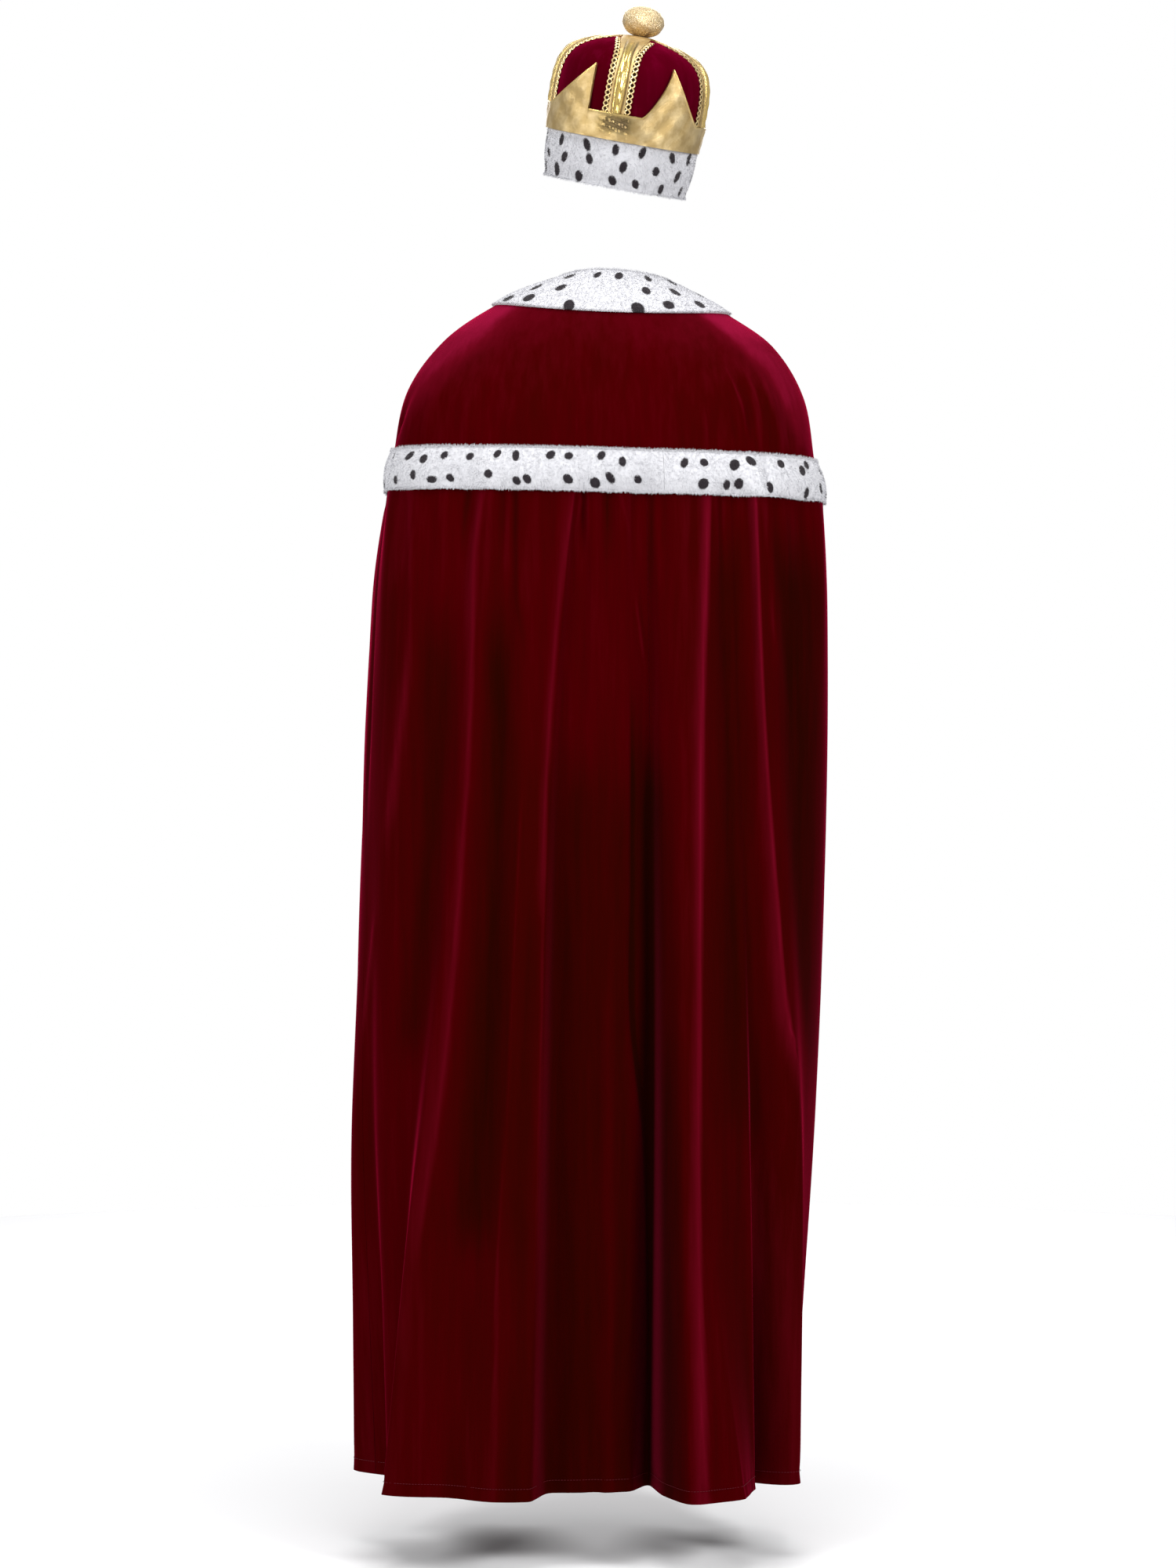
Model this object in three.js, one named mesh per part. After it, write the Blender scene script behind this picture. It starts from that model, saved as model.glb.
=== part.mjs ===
/**
 * Coronation costume: a floor-length velvet robe with a yoke, a gathered skirt, a spotted fur band and a
 * spotted fur collar, and the padded crown hat that goes with it, both as they are worn.
 *
 * Millimetres, +Z up. The origin is the middle of the neck, level with its nape. The wearer faces -Y, so the
 * back of the robe looks along +Y and the wearer's left is +X.
 *
 * The robe is one bell-shaped surface. Its base is a stack of level rings, a row of ROBE_SECTIONS each. Its
 * folds stand out from that base, a row of FOLDS each, with the small gathers under the band on them. Each
 * panel is a wall between that surface and its copy one cloth thickness inside it. The fur lies on the panels,
 * so it is the same surface moved out.
 */
import * as THREE from "three";

// Cloth and fur
const CLOTH = 2;
const GAP = 0.3;
const FUR_EDGE = 4;
const FUR_MIDDLE = 8;

// Robe heights, measured at the centre back from the nape
const NECK = -8;
const COLLAR_HEM = -62;
const BAND_TOP = -226;
const YOKE_SEAM = -250;
const BAND_FOOT = -276;
const HEM = -1450;

// Folds start under the band and are full below it
const GATHER_START = -222;

// Columns of the cloth, in millimetres along the ring that lies at this height
const MIDDLE_RING = -850;
const SIDE_SEAM = 322;
const BACK_SEAM = -58;
const BAND_JOIN = -76;
const FOLD_SHARE = 2.2;
const COLUMN_STEP = 30;
const NEAREST_MARKS = 6;

const COLLAR_MIDDLE = -32;
const YOKE_ROWS = [NECK, COLLAR_MIDDLE, COLLAR_HEM, -106, -146, -186, BAND_TOP, YOKE_SEAM + GAP / 2];
const SKIRT_ROWS = [
  YOKE_SEAM - GAP / 2, BAND_FOOT, -315, -390, -490, -610, -740, -880, -1030, -1170, -1290, -1380, HEM,
];

/**
 * Rings of the robe, from the neck down. z: height at the centre back. left, right, back, front: reach from
 * the middle. side, fore: how much higher the ring runs over the shoulders and at the front. square: 2 is an
 * ellipse and more is squarer. tilt: how far the ring drops for each millimetre to the right. part: half the
 * gap between the two front edges.
 */
const ROBE_SECTIONS = [
  { z: NECK, left: 55, right: 79, back: 64, front: 62,
    side: -8, fore: -66, square: 2.1, tilt: 0.02, part: 8 },
  { z: COLLAR_MIDDLE, left: 91, right: 111, back: 86, front: 86,
    side: 0, fore: -76, square: 2.1, tilt: 0.04, part: 9 },
  { z: COLLAR_HEM, left: 132, right: 151, back: 107, front: 110,
    side: 12, fore: -84, square: 2.2, tilt: 0.04, part: 11 },
  { z: -108, left: 192, right: 204, back: 127, front: 136,
    side: 18, fore: -70, square: 2.3, tilt: 0.02, part: 13 },
  { z: -165, left: 236, right: 241, back: 140, front: 155,
    side: 14, fore: -36, square: 2.4, tilt: 0.02, part: 16 },
  { z: BAND_TOP, left: 253, right: 254, back: 147, front: 167,
    side: 0, fore: 0, square: 2.5, tilt: 0.026, part: 20 },
  { z: BAND_FOOT, left: 261, right: 262, back: 150, front: 173,
    side: 0, fore: 0, square: 2.6, tilt: 0.026, part: 23 },
  { z: -400, left: 276, right: 267, back: 152, front: 187,
    side: 0, fore: 0, square: 2.7, tilt: 0.01, part: 28 },
  { z: -700, left: 288, right: 262, back: 150, front: 193,
    side: 0, fore: 0, square: 2.8, tilt: 0, part: 38 },
  { z: -1000, left: 289, right: 249, back: 143, front: 188,
    side: 0, fore: 0, square: 2.9, tilt: 0, part: 48 },
  { z: -1250, left: 276, right: 234, back: 134, front: 180,
    side: 0, fore: 0, square: 3, tilt: 0, part: 56 },
  { z: HEM, left: 266, right: 224, back: 125, front: 174,
    side: 0, fore: 0, square: 3, tilt: 0, part: 62 },
];

/**
 * Folds of the skirt. at: where the fold runs along the ring, from the centre back, left positive, at each
 * of FOLD_HEIGHTS. out: how far it stands out there, and a trough is negative. left, right: its width to each
 * side.
 */
const FOLD_HEIGHTS = [BAND_FOOT, -560, MIDDLE_RING, -1150, HEM];
const FOLDS = [
  { name: "left front edge",
    at: [640, 640, 640, 640, 632], out: [2, 5, 8, 10, 12], left: 40, right: 26 },
  { name: "left front pleat",
    at: [560, 560, 566, 570, 566], out: [4, 14, 20, 26, 30], left: 30, right: 18 },
  { name: "left front hollow",
    at: [515, 508, 505, 500, 496], out: [-3, -9, -14, -18, -20], left: 20, right: 26 },
  { name: "left arm fold",
    at: [436, 432, 428, 426, 424], out: [4, 10, 14, 18, 20], left: 30, right: 34 },
  { name: "left side flare",
    at: [352, 350, 350, 350, 348], out: [0, 2, 6, 22, 36], left: 38, right: 28 },
  { name: "left side hollow",
    at: [296, 300, 304, 304, 304], out: [0, 0, -3, -8, -14], left: 18, right: 18 },
  { name: "left corner",
    at: [238, 246, 262, 268, 272], out: [7, 7, 4, 0, 0], left: 26, right: 46 },
  { name: "left roll",
    at: [141, 158, 186, 220, 234], out: [5, 11, 17, 30, 56], left: 16, right: 58 },
  { name: "left ridge",
    at: [93, 98, 110, 122, 136], out: [5, 8, 12, 16, 22], left: 30, right: 26 },
  { name: "centre lap",
    at: [36, 60, 71, 79, 86], out: [5, 14, 28, 40, 50], left: 44, right: 9 },
  { name: "centre gather",
    at: [12, 14, 14, 12, 10], out: [5, 2, -2, -4, -4], left: 11, right: 11 },
  { name: "centre gather right",
    at: [-22, -20, -18, -18, -18], out: [4, 2, 0, -2, -4], left: 10, right: 12 },
  { name: "deep trough",
    at: [-50, -54, -58, -58, -55], out: [-5, -16, -26, -36, -46], left: 20, right: 7 },
  { name: "right lap",
    at: [-88, -92, -91, -90, -95], out: [5, 16, 28, 46, 68], left: 20, right: 20 },
  { name: "right ridge",
    at: [-124, -120, -118, -122, -150], out: [6, 12, 18, 26, 40], left: 16, right: 30 },
  { name: "right pocket",
    at: [-152, -162, -174, -186, -188], out: [-3, -3, -8, -26, -56], left: 6, right: 22 },
  { name: "right corner",
    at: [-178, -190, -214, -242, -232], out: [13, 14, 13, 12, 22], left: 28, right: 22 },
  { name: "right side fold",
    at: [-330, -326, -322, -320, -318], out: [2, 5, 6, 7, 6], left: 34, right: 30 },
  { name: "right arm fold",
    at: [-404, -400, -398, -396, -394], out: [-3, -8, -12, -14, -16], left: 24, right: 30 },
  { name: "right front pleat",
    at: [-486, -484, -480, -474, -468], out: [4, 13, 20, 26, 32], left: 18, right: 34 },
  { name: "right front hollow",
    at: [-540, -538, -534, -528, -520], out: [-2, -7, -11, -14, -16], left: 26, right: 22 },
  { name: "right front edge",
    at: [-622, -620, -612, -604, -592], out: [2, 5, 8, 10, 12], left: 26, right: 38 },
];

/**
 * Small gathers under the band. at: its column. out: how far it stands out at its fullest, and a trough is
 * negative. width: to each side. foot: the height at which it has faded away.
 */
const GATHER_FULL = -300;
const GATHERS = [
  { at: 616, out: 3.5, width: 9, foot: -520 },
  { at: 592, out: -3.5, width: 9, foot: -640 },
  { at: 536, out: -3, width: 8, foot: -480 },
  { at: 486, out: 3.5, width: 9, foot: -600 },
  { at: 462, out: -4, width: 9, foot: -470 },
  { at: 402, out: -3.5, width: 9, foot: -560 },
  { at: 378, out: 4, width: 9, foot: -680 },
  { at: 352, out: -3.5, width: 9, foot: -440 },
  { at: 292, out: 4, width: 10, foot: -560 },
  { at: 264, out: -4, width: 9, foot: -460 },
  { at: 222, out: 4, width: 10, foot: -760 },
  { at: 198, out: -4, width: 8, foot: -480 },
  { at: 172, out: 3.5, width: 9, foot: -640 },
  { at: 150, out: -3.5, width: 8, foot: -420 },
  { at: 129, out: -3, width: 8, foot: -520 },
  { at: 90, out: -3.5, width: 8, foot: -470 },
  { at: 42, out: -3.5, width: 7, foot: -380 },
  { at: 29, out: 3, width: 7, foot: -360 },
  { at: -2, out: -3.5, width: 7, foot: -380 },
  { at: -36, out: -3, width: 8, foot: -430 },
  { at: -74, out: -3, width: 7, foot: -400 },
  { at: -105, out: -3.5, width: 7, foot: -520 },
  { at: -142, out: -3.5, width: 8, foot: -560 },
  { at: -197, out: -4, width: 8, foot: -660 },
  { at: -236, out: 3.5, width: 9, foot: -560 },
  { at: -262, out: -4, width: 9, foot: -470 },
  { at: -292, out: 4, width: 10, foot: -620 },
  { at: -352, out: -4, width: 9, foot: -500 },
  { at: -378, out: 3.5, width: 9, foot: -620 },
  { at: -432, out: 3.5, width: 9, foot: -460 },
  { at: -456, out: -3.5, width: 9, foot: -540 },
  { at: -508, out: -3, width: 8, foot: -430 },
  { at: -560, out: 3.5, width: 9, foot: -580 },
  { at: -586, out: -3.5, width: 9, foot: -500 },
];

// Neck tab, which holds the robe shut at the front of the neck
const TAB_TOP = -20;
const TAB_FOOT = -44;
const TAB_REACH = 34;
const TAB_THICKNESS = 2.5;

/** Crown hat, in its own frame: the middle of its lower edge, with +Z up its axis and +Y at its back. */
const CROWN = { x: -13, y: -5, z: 102, leanRight: 10, leanBack: 10, depthToWidth: 1.1 };
const BRIM = { height: 55, footRadius: 88, topRadius: 94, thickness: 9, bulge: 3, columns: 40 };
const DRUM_FOOT = BRIM.height + GAP;
const DRUM_PROFILE = [
  { height: DRUM_FOOT, radius: 91 },
  { height: 90, radius: 92 },
  { height: 122, radius: 91.5 },
  { height: 142, radius: 87 },
  { height: 156, radius: 77 },
  { height: 166, radius: 62 },
  { height: 173, radius: 44 },
  { height: 177, radius: 26 },
  { height: 178, radius: 9 },
];
const PANEL_COLUMNS = 8;
const POINT_BAND = { foot: DRUM_FOOT, valley: 87, thickness: 1.6, lift: 0.9, flare: 1.4, maxStep: 7 };
/** The four points of the gold band. from, to: where the foot starts and ends, in degrees. tip: its angle. */
const POINTS = [
  { from: -73, to: -32, tip: -29.5, height: 140 },
  { from: 10, to: 60, tip: 29.5, height: 146 },
  { from: 96, to: 148, tip: 124, height: 143 },
  { from: -166, to: -114, tip: -138, height: 143 },
];
/** The four arches, by where each stands round the crown, in degrees from its back towards its right. */
const ARCHES = [
  { name: "back", at: -9 },
  { name: "right", at: 71 },
  { name: "front", at: 171 },
  { name: "left", at: -80 },
];
const ARCH = { edge: 2, roll: 7, rollEnd: 175, rollFade: 22, foot: POINT_BAND.valley + GAP, maxDegrees: 33 };
/** Half the width of an arch up the crown. Arches open out at the top into a patch under the ball. */
const ARCH_WIDTHS = [
  { height: 142, half: 9.5 },
  { height: 156, half: 10 },
  { height: 166, half: 13 },
  { height: 173, half: 17 },
];
const BRAID = { width: 7, thickness: 1.6, topRow: 6 };
const BALL = { height: 198.4, radius: 25.5, halfHeight: 19.2, columns: 18, rows: 10 };

const VELVET = new THREE.MeshStandardMaterial({
  name: "velvet", color: 0x5a0010, roughness: 0.85, metalness: 0,
});
const FUR = new THREE.MeshStandardMaterial({
  name: "fur", color: 0xe4e4ee, roughness: 0.95, metalness: 0,
});
const LAME = new THREE.MeshStandardMaterial({
  name: "lame", color: 0xc8a55a, roughness: 0.4, metalness: 0.9,
});
const BRAIDING = new THREE.MeshStandardMaterial({
  name: "braiding", color: 0xb8975a, roughness: 0.6, metalness: 0.6,
});

const radians = THREE.MathUtils.degToRad;
const clamp = THREE.MathUtils.clamp;

/** Value of one column of a table at a key between its rows, on a smooth curve through the rows. */
function along(rows, keyName, valueName, key) {
  const keys = rows.map((row) => row[keyName]);
  const values = rows.map((row) => row[valueName]);
  return throughPoints(keys, values, key);
}

/** Cubic curve through points whose keys run steadily up or down, held level past both ends. */
function throughPoints(keys, values, key) {
  const rising = keys[keys.length - 1] > keys[0] ? 1 : -1;
  const last = keys.length - 1;
  if ((key - keys[0]) * rising <= 0) return values[0];
  if ((key - keys[last]) * rising >= 0) return values[last];
  let i = 0;
  while ((key - keys[i + 1]) * rising > 0) i += 1;
  const slopeAt = (k) => {
    const before = Math.max(k - 1, 0);
    const after = Math.min(k + 1, last);
    return (values[after] - values[before]) / (keys[after] - keys[before]);
  };
  const span = keys[i + 1] - keys[i];
  const t = (key - keys[i]) / span;
  const t2 = t * t;
  const t3 = t2 * t;
  return values[i] * (2 * t3 - 3 * t2 + 1) + slopeAt(i) * span * (t3 - 2 * t2 + t)
    + values[i + 1] * (3 * t2 - 2 * t3) + slopeAt(i + 1) * span * (t3 - t2);
}

/** Straight-line value between the two rising keys round a key, carried on past both ends. */
function between(keys, values, key) {
  let i = 0;
  while (i < keys.length - 2 && key > keys[i + 1]) i += 1;
  const t = (key - keys[i]) / (keys[i + 1] - keys[i]);
  return values[i] + t * (values[i + 1] - values[i]);
}

const RING_STEPS = 120;
const rings = new Map();

/** The robe's ring at a height: for each side, points from the centre back to the front and their girth. */
function ringAt(z) {
  if (rings.has(z)) return rings.get(z);
  const row = {};
  for (const name of ["left", "right", "back", "front", "side", "fore", "square", "tilt", "part"]) {
    row[name] = along(ROBE_SECTIONS, "z", name, z);
  }
  const halves = [row.left, -row.right].map((reach) => {
    const girth = [0];
    const x = [];
    const y = [];
    for (let k = 0; k <= RING_STEPS; k += 1) {
      const turn = Math.PI * (k / RING_STEPS);
      const power = 2 / row.square;
      x.push(reach * Math.pow(Math.sin(turn), power));
      const cosine = Math.cos(turn);
      y.push(Math.sign(cosine) * (cosine > 0 ? row.back : row.front) * Math.pow(Math.abs(cosine), power));
      if (k > 0) girth.push(girth[k - 1] + Math.hypot(x[k] - x[k - 1], y[k] - y[k - 1]));
    }
    return { girth, x, y, length: girth[RING_STEPS] };
  });
  const ring = { ...row, halves };
  rings.set(z, ring);
  return ring;
}

/** Half girth of the ring at a height, on the left or the right, up to the front edge. */
function edgeGirth(z, side) {
  const ring = ringAt(z);
  return ring.halves[side > 0 ? 0 : 1].length - ring.part;
}

const LEFT_EDGE = edgeGirth(MIDDLE_RING, 1);
const RIGHT_EDGE = -edgeGirth(MIDDLE_RING, -1);
const FOLDS_RIGHT_TO_LEFT = [...FOLDS].reverse();
const FOLD_COLUMNS = FOLDS_RIGHT_TO_LEFT.map((fold) => fold.at[FOLD_HEIGHTS.indexOf(MIDDLE_RING)]);
const PINNED_COLUMNS = [RIGHT_EDGE, ...FOLD_COLUMNS, LEFT_EDGE];
const pinnedGirths = new Map();

/** Where each fold and both front edges lie along the ring. Above the band they shrink with the ring. */
function pinnedAt(z) {
  if (pinnedGirths.has(z)) return pinnedGirths.get(z);
  const level = Math.min(z, BAND_FOOT);
  const girths = FOLDS_RIGHT_TO_LEFT.map((fold) => {
    const at = throughPoints(FOLD_HEIGHTS, fold.at, level);
    return at * (edgeGirth(z, at) / edgeGirth(level, at));
  });
  const pinned = [-edgeGirth(z, -1), ...girths, edgeGirth(z, 1)];
  pinnedGirths.set(z, pinned);
  return pinned;
}

/** Base of the robe at a column and a height: its point, and the level direction that points out of it. */
function basePoint(column, z) {
  const girth = between(PINNED_COLUMNS, pinnedAt(z), column);
  const ring = ringAt(z);
  const half = ring.halves[girth >= 0 ? 0 : 1];
  const x = between(half.girth, half.x, Math.abs(girth));
  const y = between(half.girth, half.y, Math.abs(girth));
  const behind = y >= 0;
  const share = (y / (behind ? ring.back : ring.front)) ** 2;
  const rise = ring.side + ((behind ? 0 : ring.fore) - ring.side) * share;
  const height = z + rise + ring.tilt * x;
  const step = Math.abs(girth) + 2;
  const toward = Math.sign(girth || 1);
  const alongX = between(half.girth, half.x, step) - between(half.girth, half.x, step - 4);
  const alongY = between(half.girth, half.y, step) - between(half.girth, half.y, step - 4);
  const out = new THREE.Vector3(-alongY * toward, alongX * toward, 0).normalize();
  return { point: new THREE.Vector3(x, y, height), out };
}

/** How far the small gathers stand out: each is a bell shape that grows under the band and fades below. */
function gatherOut(column, z) {
  const grown = THREE.MathUtils.smoothstep(-z, -YOKE_SEAM, -GATHER_FULL);
  let sum = 0;
  for (const { at, out, width, foot } of GATHERS) {
    const left = 1 - THREE.MathUtils.smoothstep(-z, -GATHER_FULL, -foot);
    sum += out * left * Math.exp(-(((column - at) / width) ** 2));
  }
  return grown * sum;
}

/** How far the large folds stand out at a column and a height. */
function foldOut(column, z) {
  const level = Math.min(z, BAND_FOOT);
  const grown = THREE.MathUtils.smoothstep(-z, -GATHER_START, -BAND_FOOT);
  let sum = 0;
  for (const fold of FOLDS) {
    const away = column - fold.at[FOLD_HEIGHTS.indexOf(MIDDLE_RING)];
    const width = away > 0 ? fold.left : fold.right;
    sum += throughPoints(FOLD_HEIGHTS, fold.out, level) * Math.exp(-((away / width) ** 2));
  }
  return grown * sum;
}

/** Point of the robe's outer surface at a column and a height. */
function surfacePoint(column, z) {
  const { point, out } = basePoint(column, z);
  return point.addScaledVector(out, foldOut(column, z) + gatherOut(column, z));
}

/** Point of the robe moved out from its surface by a lift, square to it. */
function robePoint(column, z, lift) {
  const acrossStep = 2;
  const downStep = 3;
  const across = surfacePoint(column + acrossStep, z).sub(surfacePoint(column - acrossStep, z));
  const above = surfacePoint(column, Math.min(z + downStep, NECK));
  const below = surfacePoint(column, Math.max(z - downStep, HEM));
  const out = above.sub(below).cross(across).normalize();
  return surfacePoint(column, z).addScaledVector(out, lift);
}

/**
 * Closed solid between an outer and an inner grid of points. point(column, row, outside) gives each one.
 * A ring's last column meets its first.
 */
function wall(columns, rows, point, ring = false) {
  const positions = [];
  for (const outside of [true, false]) {
    for (const row of rows) {
      for (const column of columns) positions.push(...point(column, row, outside).toArray());
    }
  }
  const across = columns.length;
  const down = rows.length;
  const id = (outside, i, j) => (outside ? 0 : across * down) + j * across + (i % across);
  const faces = [];
  const quad = (a, b, c, d) => faces.push(a, b, c, a, c, d);
  const spans = ring ? across : across - 1;
  for (let i = 0; i < spans; i += 1) {
    for (let j = 0; j < down - 1; j += 1) {
      quad(id(true, i, j), id(true, i, j + 1), id(true, i + 1, j + 1), id(true, i + 1, j));
      quad(id(false, i, j), id(false, i + 1, j), id(false, i + 1, j + 1), id(false, i, j + 1));
    }
    quad(id(true, i, 0), id(true, i + 1, 0), id(false, i + 1, 0), id(false, i, 0));
    const end = down - 1;
    quad(id(true, i, end), id(false, i, end), id(false, i + 1, end), id(true, i + 1, end));
  }
  for (let j = 0; j < down - 1 && !ring; j += 1) {
    quad(id(true, 0, j), id(false, 0, j), id(false, 0, j + 1), id(true, 0, j + 1));
    quad(id(true, spans, j), id(true, spans, j + 1), id(false, spans, j + 1), id(false, spans, j));
  }
  return facingOut(positions, faces);
}

/** Geometry of a closed solid whose faces all turn the same way, turned round where they point inwards. */
function facingOut(positions, faces) {
  const corner = (k) => new THREE.Vector3().fromArray(positions, 3 * faces[k]);
  let volume = 0;
  for (let k = 0; k < faces.length; k += 3) volume += corner(k).dot(corner(k + 1).cross(corner(k + 2)));
  const geometry = new THREE.BufferGeometry();
  geometry.setAttribute("position", new THREE.Float32BufferAttribute(positions, 3));
  geometry.setIndex(volume > 0 ? faces : faces.reverse());
  return geometry;
}

/** Where folds and gathers run between two columns, from right to left, none close to another. */
function marksBetween(start, end) {
  const centres = [...FOLD_COLUMNS, ...GATHERS.map((gather) => gather.at)].sort((a, b) => a - b);
  const marks = [start];
  for (const centre of centres) {
    const clearOfLast = centre - marks[marks.length - 1] >= NEAREST_MARKS;
    if (clearOfLast && end - centre >= NEAREST_MARKS) marks.push(centre);
  }
  return [...marks, end];
}

/** Columns from one edge to another: one on each fold and gather, and more between where the hem is steep. */
function columnsBetween(start, end) {
  const marks = marksBetween(start, end);
  const columns = [start];
  for (let k = 1; k < marks.length; k += 1) {
    const gap = marks[k] - marks[k - 1];
    const rise = FOLD_SHARE * Math.abs(foldOut(marks[k], HEM) - foldOut(marks[k - 1], HEM));
    const parts = Math.ceil(Math.hypot(gap, rise) / COLUMN_STEP);
    for (let i = 1; i <= parts; i += 1) columns.push(marks[k - 1] + gap * (i / parts));
  }
  return columns;
}

const BACK_LEFT = columnsBetween(BACK_SEAM, SIDE_SEAM);
const BACK_RIGHT = columnsBetween(-SIDE_SEAM, BACK_SEAM);
const BACK = [...BACK_RIGHT, ...BACK_LEFT.slice(1)];
const FRONT_LEFT = columnsBetween(SIDE_SEAM, LEFT_EDGE);
const FRONT_RIGHT = columnsBetween(RIGHT_EDGE, -SIDE_SEAM);
const ALL_ROUND = [...FRONT_RIGHT, ...BACK.slice(1, -1), ...FRONT_LEFT];

/** The same columns with the first and the last drawn in, to leave half a seam's gap at each. */
function insideSeams(columns) {
  const drawn = [...columns];
  drawn[0] += GAP / 2;
  drawn[drawn.length - 1] -= GAP / 2;
  return drawn;
}

function mesh(name, geometry, material) {
  const piece = new THREE.Mesh(geometry, material);
  piece.name = name;
  return piece;
}

/** One velvet panel: a wall one cloth thickness deep, inwards from the robe's surface. */
function clothPanel(name, columns, rows) {
  const point = (column, z, outside) => robePoint(column, z, outside ? 0 : -CLOTH);
  return mesh(name, wall(insideSeams(columns), rows, point), VELVET);
}

/** Fur on the panels: thickest along its middle row and thin at both edges. */
function furStrip(name, columns, rows) {
  const middle = (rows.length - 1) / 2;
  const point = (column, z, outside) => {
    const fromMiddle = Math.abs(rows.indexOf(z) - middle) / middle;
    const thick = FUR_MIDDLE + (FUR_EDGE - FUR_MIDDLE) * fromMiddle ** 2;
    return robePoint(column, z, outside ? GAP + thick : GAP);
  };
  return mesh(name, wall(insideSeams(columns), rows, point), FUR);
}

/** Tab across the gap at the front of the neck. It lies inside both fronts and holds them together. */
function neckTab() {
  const columns = [LEFT_EDGE - TAB_REACH, LEFT_EDGE, RIGHT_EDGE, RIGHT_EDGE + TAB_REACH];
  const point = (column, z, outside) => robePoint(column, z, -CLOTH - GAP - (outside ? 0 : TAB_THICKNESS));
  return mesh("robe_neck_tab", wall(columns, [TAB_TOP, COLLAR_MIDDLE, TAB_FOOT], point), VELVET);
}

function robe() {
  const group = new THREE.Group();
  group.add(clothPanel("robe_yoke_back", BACK, YOKE_ROWS));
  group.add(clothPanel("robe_yoke_front_left", FRONT_LEFT, YOKE_ROWS));
  group.add(clothPanel("robe_yoke_front_right", FRONT_RIGHT, YOKE_ROWS));
  group.add(clothPanel("robe_skirt_back_left", BACK_LEFT, SKIRT_ROWS));
  group.add(clothPanel("robe_skirt_back_right", BACK_RIGHT, SKIRT_ROWS));
  group.add(clothPanel("robe_skirt_front_left", FRONT_LEFT, SKIRT_ROWS));
  group.add(clothPanel("robe_skirt_front_right", FRONT_RIGHT, SKIRT_ROWS));
  const nearer = (best, at) => (Math.abs(at - BAND_JOIN) < Math.abs(best - BAND_JOIN) ? at : best);
  const join = ALL_ROUND.reduce(nearer);
  const bandRows = [BAND_TOP, YOKE_SEAM, BAND_FOOT];
  group.add(furStrip("ermine_band_left", ALL_ROUND.filter((at) => at >= join), bandRows));
  group.add(furStrip("ermine_band_right", ALL_ROUND.filter((at) => at <= join), bandRows));
  group.add(furStrip("ermine_collar", ALL_ROUND, [NECK, COLLAR_MIDDLE, COLLAR_HEM]));
  group.add(neckTab());
  return group;
}

/** Point of the crown's drum at an angle from its back and a height, moved out by a lift. */
function drumPoint(degrees, height, lift) {
  const radiusAt = (level) => along(DRUM_PROFILE, "height", "radius", level);
  const radius = radiusAt(height);
  const step = 1.5;
  const slope = radiusAt(height + step) - radiusAt(height - step);
  const level = 2 * step / Math.hypot(2 * step, slope);
  const upward = -slope / Math.hypot(2 * step, slope);
  const turn = radians(degrees);
  const reach = radius + lift * level;
  const y = CROWN.depthToWidth * reach * Math.cos(turn);
  return new THREE.Vector3(-reach * Math.sin(turn), y, height + lift * upward);
}

/** Fur brim: a padded ring, wider at its top, with rounded edges. */
function brim() {
  const columns = [];
  for (let k = 0; k < BRIM.columns; k += 1) columns.push(360 * (k / BRIM.columns));
  const rows = [0, 0.12, 0.5, 0.88, 1];
  const point = (degrees, share, outside) => {
    const radius = THREE.MathUtils.lerp(BRIM.footRadius, BRIM.topRadius, share) - BRIM.thickness / 2;
    const half = BRIM.thickness / 2 + BRIM.bulge * (4 * share * (1 - share) - 1);
    const reach = radius + (outside ? half : -half);
    const turn = radians(degrees);
    const y = CROWN.depthToWidth * reach * Math.cos(turn);
    return new THREE.Vector3(-reach * Math.sin(turn), y, BRIM.height * share);
  };
  return mesh("crown_brim", wall(columns, rows, point, true), FUR);
}

/** Velvet quarters of the drum. Each runs from the middle of one arch to the middle of the next. */
function drumPanels() {
  return ARCHES.map((arch, k) => {
    const start = arch.at;
    const end = ARCHES[(k + 1) % ARCHES.length].at;
    const sweep = (end - start + 720) % 360;
    const columns = [];
    for (let i = 0; i <= PANEL_COLUMNS; i += 1) columns.push(i / PANEL_COLUMNS);
    const rows = DRUM_PROFILE.map((row) => row.height);
    const point = (share, height, outside) => {
      const radius = along(DRUM_PROFILE, "height", "radius", height);
      const margin = THREE.MathUtils.radToDeg(GAP / 2 / (radius - CLOTH));
      const degrees = start + margin + (sweep - 2 * margin) * share;
      return drumPoint(degrees, height, outside ? 0 : -CLOTH);
    };
    const name = `crown_panel_${arch.name}_${ARCHES[(k + 1) % ARCHES.length].name}`;
    return mesh(name, wall(columns, rows, point), VELVET);
  });
}

/** Height of the gold band's upper edge at an angle: level, but for the four hollow-sided points. */
function pointEdge(degrees) {
  const { valley } = POINT_BAND;
  for (const { from, to, tip, height } of POINTS) {
    if (degrees <= from || degrees >= Math.max(to, tip)) continue;
    const share = degrees <= tip ? (degrees - from) / (tip - from) : (to - degrees) / (to - tip);
    return valley + (height - valley) * Math.pow(clamp(share, 0, 1), 1.35);
  }
  return valley;
}

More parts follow.
